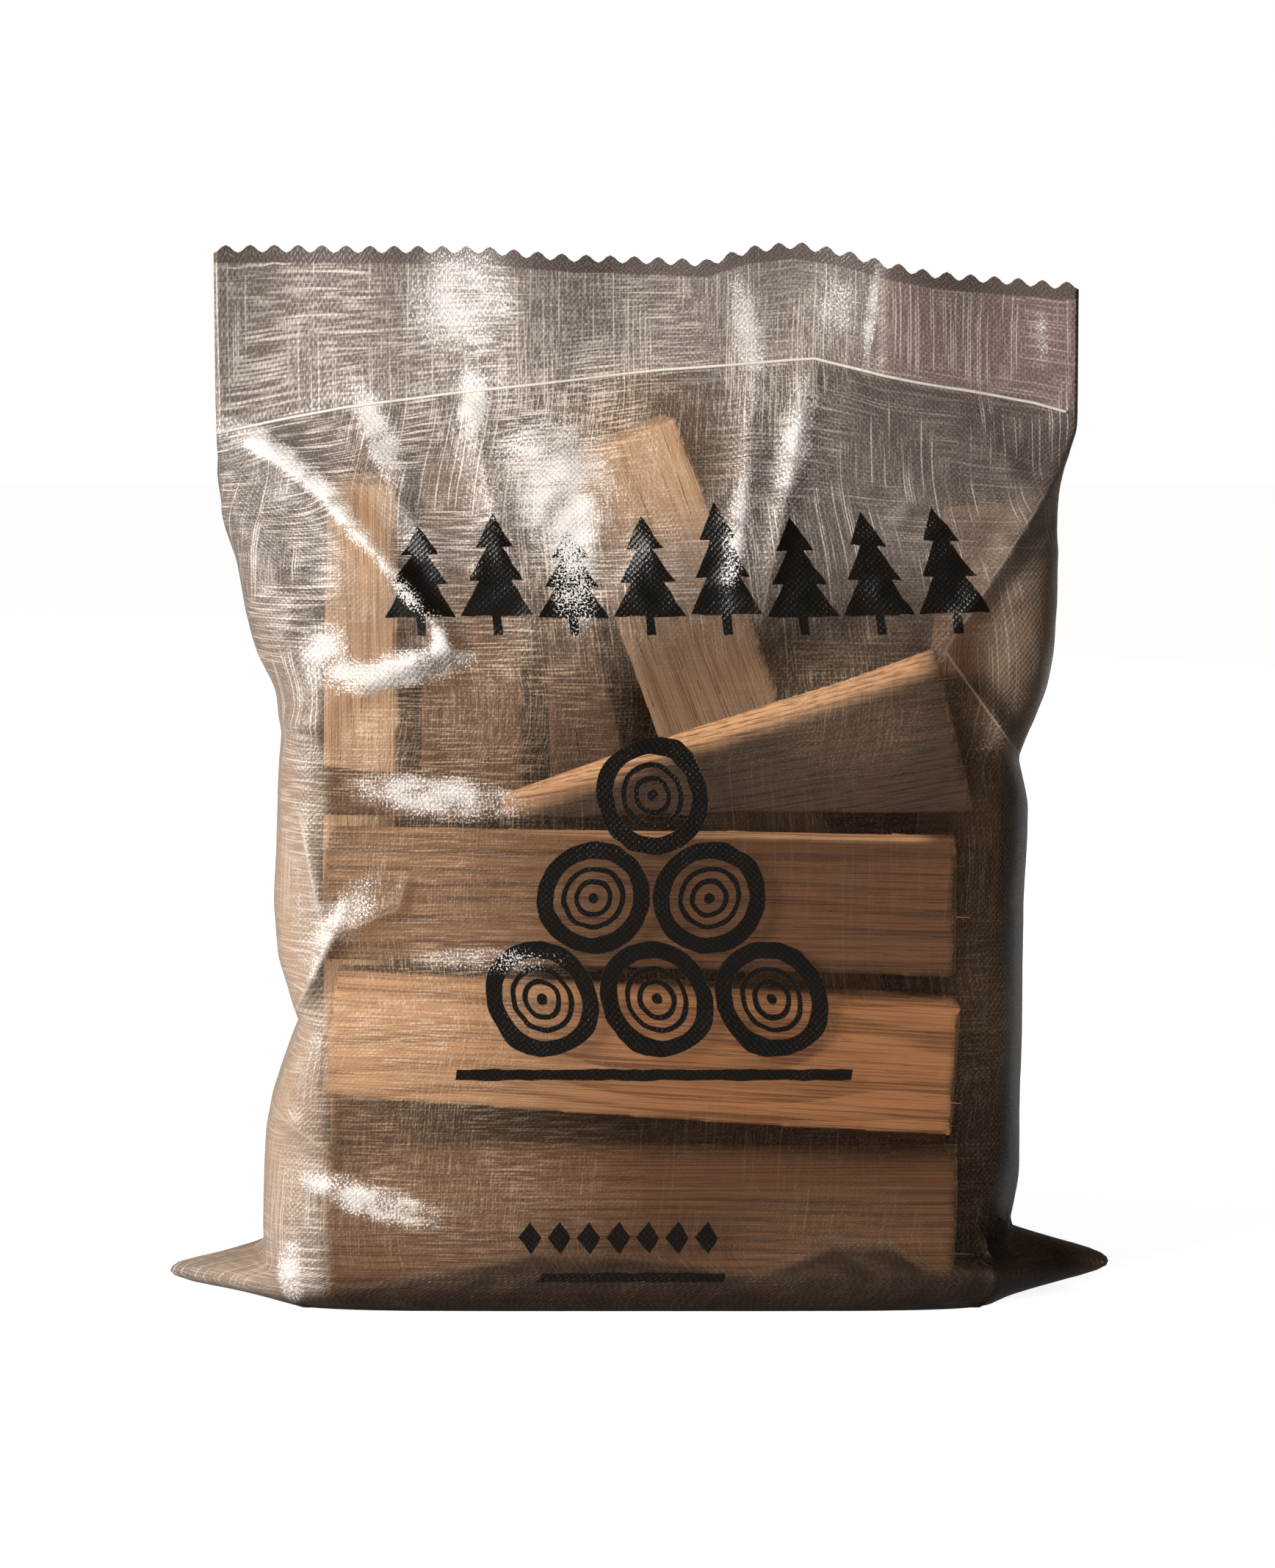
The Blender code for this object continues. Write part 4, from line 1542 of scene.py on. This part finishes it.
        # The back panel carries the front's painted glare, mirrored and weaker.
        other = np.clip(sum(patch.spread(-x, z) for patch in self.glare_patches), 0.0, 1.0) * 0.6
        haze = np.clip(sum(patch.spread(x, z) for patch in self.hazy), 0.0, 1.0)
        fold, shown = np.ones(x.shape), np.zeros(x.shape)
        for crease in self.creases:
            side, strength = crease.beside(x, z)
            closer = (strength > 0) & (np.abs(side) < np.abs(fold))
            fold, shown = np.where(closer, side, fold), np.where(closer, strength, shown)
        cling = np.exp(-np.maximum(gap - 1.0 * MM, 0.0) / self.cling_reach)
        cling = cling * smooth_rise(*self.cling_edge, x) * (1.0 - 0.5 * smooth_rise(0.31, 0.38, level))
        seam = self.shape.seam_level
        mouth = self.shape.line_at(self.shape.mouth_line, x)
        loose = 0.92 * (1.0 - smooth_rise(0.32, 0.405, level)) * smooth_rise(*self.loose_edge, x)
        loose = loose * (1.0 - smooth_rise(0.165, 0.190, x) * smooth_rise(0.25, 0.35, level))
        pressed = np.clip(sum(patch.spread(x, z) for patch in self.pressed), 0.0, 1.0)
        overlap = smooth_rise(self.pleat_place, self.pleat_place + 0.002, x) * front
        values = {
            "clear": np.maximum(np.maximum(cling, loose), pressed),
            "tan": np.clip(sum(patch.spread(x, z) for patch in self.warm), 0.0, 1.0),
            "haze": np.where(front, haze, haze[:, ::-1]),
            # Painted shade at the base, below the line.
            "painted_base_shade": 1.0 - smooth_rise(-0.004, 0.006, z - self.shape.line_at(self.base_shade_line, x)),
            "fold_offset": fold,
            "fold_strength": shown * front,
            "painted_glare": np.where(front, white, other),
            "above_seam": smooth_rise(seam - 0.001, seam + 0.001, level),
            "below_mouth": np.where(level > seam, mouth - z, 1.0),
            "overlap": overlap * smooth_rise(seam, seam + 0.002, level),
        }
        under = {"clear": 0.8, "below_mouth": 1.0, "painted_base_shade": 1.0, "fold_offset": 1.0}
        for name, wall_values in values.items():
            base = np.full((self.base_rows, self.columns), under.get(name, 0.0))
            store(mesh, name, np.concatenate([base, wall_values]).ravel())

    @staticmethod
    def _weld_bottom(mesh: bpy.types.Mesh) -> None:
        """Joins the two panels along the bottom seam.

        Args:
            mesh: The film's mesh.
        """
        work = bmesh.new()
        work.from_mesh(mesh)
        low = [v for v in work.verts if abs(v.co.y) < 1e-7 and v.co.z < 0.001]
        bmesh.ops.remove_doubles(work, verts=low, dist=1e-6)
        work.to_mesh(mesh)
        work.free()

    def seam(self, side: int, finish: bpy.types.Material) -> bpy.types.Object:
        """The weld bead that closes the sack, on one panel.

        Args:
            side: 0 for the front and 1 for the back.
            finish: The weld's material.

        Returns:
            The bead.
        """
        row = int(np.argmin(np.abs(self.levels - self.shape.seam_level)))
        first = side * self.panel_columns
        inset = self.bead_inset
        columns = [(first + j) % self.columns for j in range(inset, self.panel_columns + 1 - inset)]
        path = self.wall[row, columns] + self.normals[row, columns] * self.bead_lift
        mesh = bpy.data.meshes.new("seam_path")
        mesh.from_pydata(path.tolist(), [(k, k + 1) for k in range(len(path) - 1)], [])
        bead = add_piece(("seam_front", "seam_back")[side], mesh, finish)
        return shaped(bead, "bead", PathRecipe("welded_seam", finish).tree(), {"Radius": self.bead_radius})


# Geometry Nodes recipes


@dataclass(frozen=True)
class PathRecipe:
    """A round bead that follows a line of points."""

    name: str
    finish: bpy.types.Material
    sides: int = 8

    def tree(self) -> bpy.types.NodeTree:
        """Builds the geometry node tree.

        Returns:
            The tree, with the bead's radius as its input.
        """
        inputs = {"Path": GEOMETRY, "Radius": FLOAT}
        graph, given, end = new_tree("Geometry", self.name, inputs, {"Bead": GEOMETRY})
        line = graph.node("GeometryNodeMeshToCurve")
        ring = graph.node("GeometryNodeCurvePrimitiveCircle")
        ring.inputs["Resolution"].default_value = self.sides
        sweep = graph.node("GeometryNodeCurveToMesh")
        sweep.inputs["Fill Caps"].default_value = True
        smooth = graph.node("GeometryNodeSetShadeSmooth")
        real = graph.node("GeometryNodeRealizeInstances")
        paint = graph.node("GeometryNodeSetMaterial")
        paint.inputs["Material"].default_value = self.finish
        graph.join(given["Path"], line.inputs["Mesh"])
        graph.join(given["Radius"], ring.inputs["Radius"])
        graph.wire(
            (line, "Curve", sweep, "Curve"),
            (ring, "Curve", sweep, "Profile Curve"),
            (sweep, "Mesh", smooth, "Geometry"),
            (smooth, "Geometry", real, "Geometry"),
            (real, "Geometry", paint, "Geometry"),
            (paint, "Geometry", end, "Bead"),
        )
        return graph.tree


@dataclass(frozen=True)
class SliverRecipe:
    """Thin splinters that stand along the grain on a split face."""

    name: str
    finish: bpy.types.Material
    seed: int
    sides: int = 4
    foot_radius: float = 0.00045
    tip_radius: float = 0.0001
    shortest: float = 0.35

    def tree(self) -> bpy.types.NodeTree:
        """Builds the geometry node tree.

        Returns:
            The tree. Its inputs are the grain's direction, the density and the splinters' length.
        """
        inputs = {"Log": GEOMETRY, "Grain": VECTOR, "Density": FLOAT, "Length": FLOAT}
        graph, given, end = new_tree("Geometry", self.name, inputs, {"Splintered": GEOMETRY})
        split_only = graph.node("GeometryNodeInputNamedAttribute", data_type="FLOAT")
        split_only.inputs["Name"].default_value = "split"
        scatter = graph.node("GeometryNodeDistributePointsOnFaces")
        scatter.inputs["Seed"].default_value = self.seed
        cone = graph.node("GeometryNodeMeshCone")
        cone.inputs["Vertices"].default_value = self.sides
        cone.inputs["Radius Bottom"].default_value = self.foot_radius
        cone.inputs["Radius Top"].default_value = self.tip_radius
        cone.inputs["Depth"].default_value = 1.0
        align = graph.node("FunctionNodeAlignRotationToVector", axis="Z")
        size = graph.node("FunctionNodeRandomValue", data_type="FLOAT")
        numbers = [socket for socket in size.inputs if socket.type == "VALUE"]
        numbers[0].default_value, numbers[1].default_value = self.shortest, 1.0
        size.inputs["Seed"].default_value = self.seed + 7
        length = Signal(graph, size.outputs[1]) * given["Length"]
        place = graph.node("GeometryNodeInstanceOnPoints")
        real = graph.node("GeometryNodeRealizeInstances")
        both = graph.node("GeometryNodeJoinGeometry")
        paint = graph.node("GeometryNodeSetMaterial")
        paint.inputs["Material"].default_value = self.finish
        graph.join(given["Log"], scatter.inputs["Mesh"])
        graph.join(given["Density"] * Signal(graph, split_only.outputs[0]), scatter.inputs["Density"])
        graph.join(given["Grain"], align.inputs["Vector"])
        graph.join(graph.vector(1.0, 1.0, length), place.inputs["Scale"])
        graph.wire(
            (scatter, "Points", place, "Points"),
            (cone, "Mesh", place, "Instance"),
            (align, "Rotation", place, "Rotation"),
            (place, "Instances", real, "Geometry"),
            (real, "Geometry", both, "Geometry"),
        )
        graph.join(given["Log"], both.inputs["Geometry"])
        graph.wire((both, "Geometry", paint, "Geometry"), (paint, "Geometry", end, "Splintered"))
        return graph.tree


# The wood


@dataclass
class SplitLog:
    """One split log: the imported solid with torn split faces, sawn ends and bark."""

    node: str
    tone: WoodTone
    seed: int
    pith: Pair = (0.035, -0.02)
    bark_way: Colour = (0.0, 1.0, 0.0)
    voxel: float = 2.4 * MM
    tear: float = 0.55 * MM
    swell: float = 0.8 * MM
    deepest: float = 1.5 * MM
    slot: str = "pale_wood"
    # Painted shade below this level.
    painted_shade_line: Pair = (-0.02, -0.01)
    # Painted light: a lit strip under the top edge, and a lit left end.
    lit_edge_width: float = 0.0
    lit_edge_stop: Pair = (0.140, 0.156)
    edge_step: float = 0.004
    lit_end: float = 0.0
    lit_end_reach: Pair = (-0.150, 0.040)
    sawn_slope: Pair = (0.55, 0.85)
    bark_slope: Pair = (0.62, 0.80)
    fibre_noise: Colour = (14.0, 210.0, 210.0)
    broad_noise: Colour = (6.0, 45.0, 45.0)
    plate_noise: Colour = (24.0, 70.0, 70.0)
    plate_depth: float = 1.6 * MM
    saw_depth: float = 0.12 * MM
    saw_waves: float = 1900.0
    proud: float = 0.3 * MM
    splinter_density: float = 2600.0
    splinter_length: float = 0.016

    def build(self, effects: SharedEffects) -> bpy.types.Object:
        """Builds the log.

        Args:
            effects: The shared node groups.

        Returns:
            The log.
        """
        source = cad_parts[self.node]
        mesh = self._even_mesh(source)
        points = points_of(mesh)
        normals = np.array([v.normal[:] for v in mesh.vertices])
        centre, axes = self._own_axes(points_of(source.data))
        place = (points - centre) @ axes.T
        sawn = smooth_rise(*self.sawn_slope, np.abs(normals @ axes[0]))
        way = np.array(self.bark_way) / np.linalg.norm(self.bark_way)
        bark = smooth_rise(*self.bark_slope, normals @ way) * (1.0 - sawn)
        depth = np.array([self._depth(Vector(p), s, k) for p, s, k in zip(place, sawn, bark)])
        mesh.vertices.foreach_set("co", (points - normals * depth[:, None]).astype(np.float32).ravel())
        shift = np.array([self.seed * 1.7, 0.0, 0.0])
        store(mesh, "place", place + shift)
        store(mesh, "sawn", sawn)
        store(mesh, "bark", bark)
        store(mesh, "split", (1.0 - sawn) * (1.0 - bark))
        # Painted light: a bright strip under the top edge and a brighter left end.
        store(mesh, "painted_light", self._lit_wood(points) * (1.0 - sawn))
        # Painted shade: darker below a given level, for logs deep in the pile.
        store(mesh, "painted_shade", 1.0 - smooth_rise(*self.painted_shade_line, points[:, 2]))
        mesh.shade_smooth()
        finish = WoodFinish(self.node + "_wood", self.tone, self.pith).material(effects)
        piece = add_piece(self.node + "_wood", mesh, finish)
        return self._splintered(piece, finish, axes[0])

    def _even_mesh(self, source: bpy.types.Object) -> bpy.types.Mesh:
        """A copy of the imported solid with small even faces.

        Args:
            source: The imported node.

        Returns:
            The new mesh.
        """
        mesh = source.data.copy()
        work = bmesh.new()
        work.from_mesh(mesh)
        bmesh.ops.remove_doubles(work, verts=work.verts, dist=1e-6)
        work.to_mesh(mesh)
        work.free()
        holder = bpy.data.objects.new("even_log", mesh)
        bpy.context.scene.collection.objects.link(holder)
        modifier = holder.modifiers.new("even", "REMESH")
        modifier.mode = "VOXEL"
        modifier.voxel_size = self.voxel
        made = frozen(holder).data
        bpy.data.objects.remove(holder)
        return made

    def _lit_wood(self, points: np.ndarray) -> np.ndarray:
        """Painted light: a bright strip along the top edge, and a brighter left end.

        Args:
            points: The log's vertices.

        Returns:
            1 where light is painted on and 0 elsewhere.
        """
        end = self.lit_end * (1.0 - smooth_rise(*self.lit_end_reach, points[:, 0]))
        if not self.lit_edge_width:
            return end
        order = np.round(points[:, 0] / self.edge_step).astype(int)
        order -= order.min()
        top = np.full(order.max() + 1, -1.0)
        np.maximum.at(top, order, points[:, 2])
        below = top[order] - points[:, 2]
        strip = 1.0 - smooth_rise(self.lit_edge_width * 0.35, self.lit_edge_width * 1.50, below)
        return np.maximum(end, strip * (1.0 - smooth_rise(*self.lit_edge_stop, points[:, 0])))

    @staticmethod
    def _own_axes(points: np.ndarray) -> tuple[np.ndarray, np.ndarray]:
        """A log's centre, and its own axes: along, depth, height.

        Args:
            points: Its points.

        Returns:
            The centre, and the axes as rows.
        """
        centre = (points.min(axis=0) + points.max(axis=0)) / 2
        spread = np.linalg.svd(points - points.mean(axis=0), full_matrices=False)[2]
        along = spread[0] * (1.0 if spread[0][0] + spread[0][2] > 0 else -1.0)
        depth = np.array([0.0, 1.0, 0.0]) - along[1] * along
        depth /= np.linalg.norm(depth)
        return centre, np.stack([along, depth, np.cross(along, depth)])

    def _depth(self, place: Vector, sawn: float, bark: float) -> float:
        """How far a vertex lies under the solid's face.

        Args:
            place: Its place in the log's own metres.
            sawn: 1 on a sawn end.
            bark: 1 on bark.

        Returns:
            The depth, slightly negative where a fibre stands out.
        """
        own = place + Vector((self.seed * 3.1, 0.0, 0.0))
        fibre, broad = noise_at(own, self.fibre_noise), noise_at(own, self.broad_noise)
        split = self.tear * fibre + self.swell * broad + 0.5 * MM
        plates = abs(noise_at(own, self.plate_noise)) * self.plate_depth
        saw = self.saw_depth * math.sin(own.z * self.saw_waves) + 0.15 * MM
        depth = split * (1.0 - sawn) * (1.0 - bark) + plates * bark + saw * sawn
        return min(max(depth, -self.proud), self.deepest)

    def _splintered(
        self, piece: bpy.types.Object, finish: bpy.types.Material, along: np.ndarray
    ) -> bpy.types.Object:
        """Adds splinters along the grain and makes the result plain mesh.

        Args:
            piece: The log.
            finish: Its material.
            along: Direction of its grain.

        Returns:
            The same object.
        """
        recipe = SliverRecipe(self.node + "_splinters", finish, self.seed).tree()
        grain = [float(v) for v in along]
        sizes = {"Grain": grain, "Density": self.splinter_density, "Length": self.splinter_length}
        return shaped(piece, "splinters", recipe, sizes)


class Woodpile:
    """All the logs in the sack."""

    def __init__(self) -> None:
        """Lists the logs, front row first."""
        pale, tan, brown, painted_light = WoodTone.PALE, WoodTone.TAN, WoodTone.BROWN, WoodTone.BRIGHT
        dark_slot = "brown_wood"
        # Besides each log's own tone, the tones, lit strips and shade levels paint light and shade on the
        # logs.
        self.logs = [
            SplitLog("log_front_bottom", brown, 1, (0.040, 0.060), lit_end=0.06),
            SplitLog("log_front_middle", pale, 2, (0.060, 0.012), lit_end=0.90),
            SplitLog("log_front_upper", brown, 3, (0.050, -0.030), lit_edge_width=0.0025, lit_end=0.25),
            SplitLog("wedge_front_top", WoodTone.DARK, 4, (0.030, 0.050), lit_edge_width=0.012),
            SplitLog("kindling_left", brown, 5, slot=dark_slot),
            SplitLog("log_back_bottom", brown, 6, (-0.060, 0.020), slot=dark_slot, painted_shade_line=(0.9, 1.0)),
            SplitLog("log_back_middle", tan, 7, (-0.050, -0.030), slot=dark_slot, painted_shade_line=(0.9, 1.0)),
            SplitLog("log_upright_left", painted_light, 8, (-0.045, 0.020)),
            SplitLog("log_upright_second", tan, 9, (-0.050, 0.010), painted_shade_line=(0.36, 0.45)),
            SplitLog("wedge_upright_middle", brown, 10, (-0.040, 0.0), slot=dark_slot, painted_shade_line=(0.36, 0.46)),
            SplitLog("log_leaning_middle", painted_light, 11, (-0.050, 0.020), painted_shade_line=(0.36, 0.42)),
            SplitLog("log_upright_right", tan, 12, (-0.045, -0.020), slot=dark_slot, painted_shade_line=(0.36, 0.44)),
        ]

    def build(self, effects: SharedEffects) -> list[bpy.types.Object]:
        """Builds every log and makes it ride.

        Args:
            effects: The shared node groups.

        Returns:
            The logs.
        """
        pieces = []
        for log in self.logs:
            piece = log.build(effects)
            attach(piece, "root")
            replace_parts(piece, log.node)
            LOG.info("%s: %d faces", piece.name, len(piece.data.polygons))
            pieces.append(piece)
        return pieces

    @staticmethod
    def solid(pieces: list[bpy.types.Object]) -> BVHTree:
        """All logs as one tree for ray casts.

        Args:
            pieces: The logs.

        Returns:
            The tree.
        """
        corners, faces = [], []
        for node in (p["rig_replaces"][0] for p in pieces):
            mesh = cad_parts[node].data
            first = len(corners)
            corners += [v.co.copy() for v in mesh.vertices]
            faces += [[first + k for k in face.vertices] for face in mesh.polygons]
        return BVHTree.FromPolygons(corners, faces)


# Camera, daylight and floor


@dataclass
class Studio:
    """A pale floor, low sun from the left and the photograph's camera."""

    target: Vector = field(default_factory=lambda: Vector((-0.001, 0.0, 0.267)))
    elevation: float = 8.0
    distance: float = 3.407
    lens: float = 150.0
    sun_way: Vector = field(default_factory=lambda: Vector((-0.68, -0.58, 0.41)))
    sun_strength: float = 3.9
    sun_spread: float = 20.0
    sky: Colour = (1.0, 0.96, 0.92)
    sky_strength: float = 0.07
    sky_seen: Colour = (1.0, 1.0, 1.0)
    light_bounces: int = 2
    floor_size: float = 9.0
    floor_drop: float = 0.0004
    floor_tone: Colour = (0.22, 0.22, 0.22)
    floor_seen: Colour = (0.35, 0.35, 0.35)
    floor_glow: float = 0.78

    def build(self) -> None:
        """Builds everything that isn't the sack."""
        self._camera()
        self._sun()
        self._glints()
        self._floor()
        self._sky()
        bpy.context.scene.view_settings.view_transform = "Standard"
        paths = bpy.context.scene.cycles
        paths.max_bounces = paths.diffuse_bounces = paths.glossy_bounces = self.light_bounces

    def _camera(self) -> None:
        """The camera, eight degrees above level and square to the front."""
        data = bpy.data.cameras.new("camera")
        data.lens = self.lens
        data.sensor_width = 36.0
        camera = bpy.data.objects.new("camera", data)
        rise = math.radians(self.elevation)
        camera.location = self.target + Vector((0.0, -math.cos(rise), math.sin(rise))) * self.distance
        camera.rotation_euler = (math.pi / 2 - rise, 0.0, 0.0)
        bpy.context.scene.collection.objects.link(camera)
        bpy.context.scene.camera = camera

    def _sun(self) -> None:
        """The key light."""
        data = bpy.data.lights.new("low_sun", "SUN")
        data.energy = self.sun_strength
        data.angle = math.radians(self.sun_spread)
        data.color = (1.0, 0.955, 0.90)
        sun = bpy.data.objects.new("low_sun", data)
        sun.rotation_euler = self.sun_way.to_track_quat("Z", "Y").to_euler()
        bpy.context.scene.collection.objects.link(sun)

    def _glints(self) -> None:
        """A tall soft lamp at the left that draws bright lines on the film's folds."""
        self._soft_lamp("left_strip", Vector((-0.95, -0.75, 0.55)), (0.35, 0.9), 14.0)
        fill = self._soft_lamp("back_fill", Vector((0.9, 2.0, 1.2)), (1.6, 1.6), 62.0)
        fill.visible_glossy = False

    def _soft_lamp(self, name: str, place: Vector, size: Pair, power: float) -> bpy.types.Object:
        """Adds a rectangular lamp that faces the sack.

        Args:
            name: Name of the lamp.
            place: Where it stands.
            size: Its width and height.
            power: Its power in watts.

        Returns:
            The lamp.
        """
        data = bpy.data.lights.new(name, "AREA")
        data.shape = "RECTANGLE"
        data.size, data.size_y = size
        data.energy = power
        lamp = bpy.data.objects.new(name, data)
        lamp.location = place
        lamp.rotation_euler = (place - self.target).to_track_quat("Z", "Y").to_euler()
        bpy.context.scene.collection.objects.link(lamp)
        return lamp

    def _floor(self) -> None:
        """The floor, just under the sack."""
        bpy.ops.mesh.primitive_plane_add(size=self.floor_size, location=(0.0, 0.0, -self.floor_drop))
        floor = bpy.context.object
        floor.name = "floor"
        material, graph, shader = new_material("pale_floor")
        seen = Signal(graph, graph.node("ShaderNodeLightPath").outputs["Is Camera Ray"])
        graph.join(graph.mix(seen, self.floor_tone, self.floor_seen), shader.inputs["Base Color"])
        shader.inputs["Roughness"].default_value = 0.9
        shader.inputs["Emission Color"].default_value = (1.0, 1.0, 1.0, 1.0)
        graph.join(seen * self.floor_glow, shader.inputs["Emission Strength"])
        floor.data.materials.append(material)

    def _sky(self) -> None:
        """Weak light from all round, seen as plain white behind the sack."""
        world = bpy.data.worlds.new("white_room")
        world.use_nodes = True
        bpy.context.scene.world = world
        graph = Graph(world.node_tree)
        world.node_tree.nodes.clear()
        light = graph.node("ShaderNodeBackground")
        light.inputs["Color"].default_value = (*self.sky, 1.0)
        light.inputs["Strength"].default_value = self.sky_strength
        seen = graph.node("ShaderNodeBackground")
        seen.inputs["Color"].default_value = (*self.sky_seen, 1.0)
        seen.inputs["Strength"].default_value = 1.0
        path = graph.node("ShaderNodeLightPath")
        mix = graph.node("ShaderNodeMixShader")
        out = graph.node("ShaderNodeOutputWorld")
        graph.join(path.outputs["Is Camera Ray"], mix.inputs[0])
        graph.join(light.outputs[0], mix.inputs[1])
        graph.join(seen.outputs[0], mix.inputs[2])
        graph.join(mix.outputs[0], out.inputs["Surface"])


def main() -> None:
    """Builds the studio, the wood and the sack, and notes how large the dressed model is."""
    logging.basicConfig(level=logging.INFO, format="%(message)s")
    Studio().build()
    effects = SharedEffects()
    logs = Woodpile().build(effects)

    sack = Sack()
    film = sack.build(Woodpile.solid(logs), FilmFinish().material(effects, InkDesign()))
    weld = SeamFinish().material(effects)
    seams = [sack.seam(side, weld) for side in (0, 1)]
    for piece in (film, *seams):
        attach(piece, "root")
        LOG.info("%s: %d faces", piece.name, len(piece.data.polygons))
    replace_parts(film, "sack")


if __name__ == "__main__":
    main()
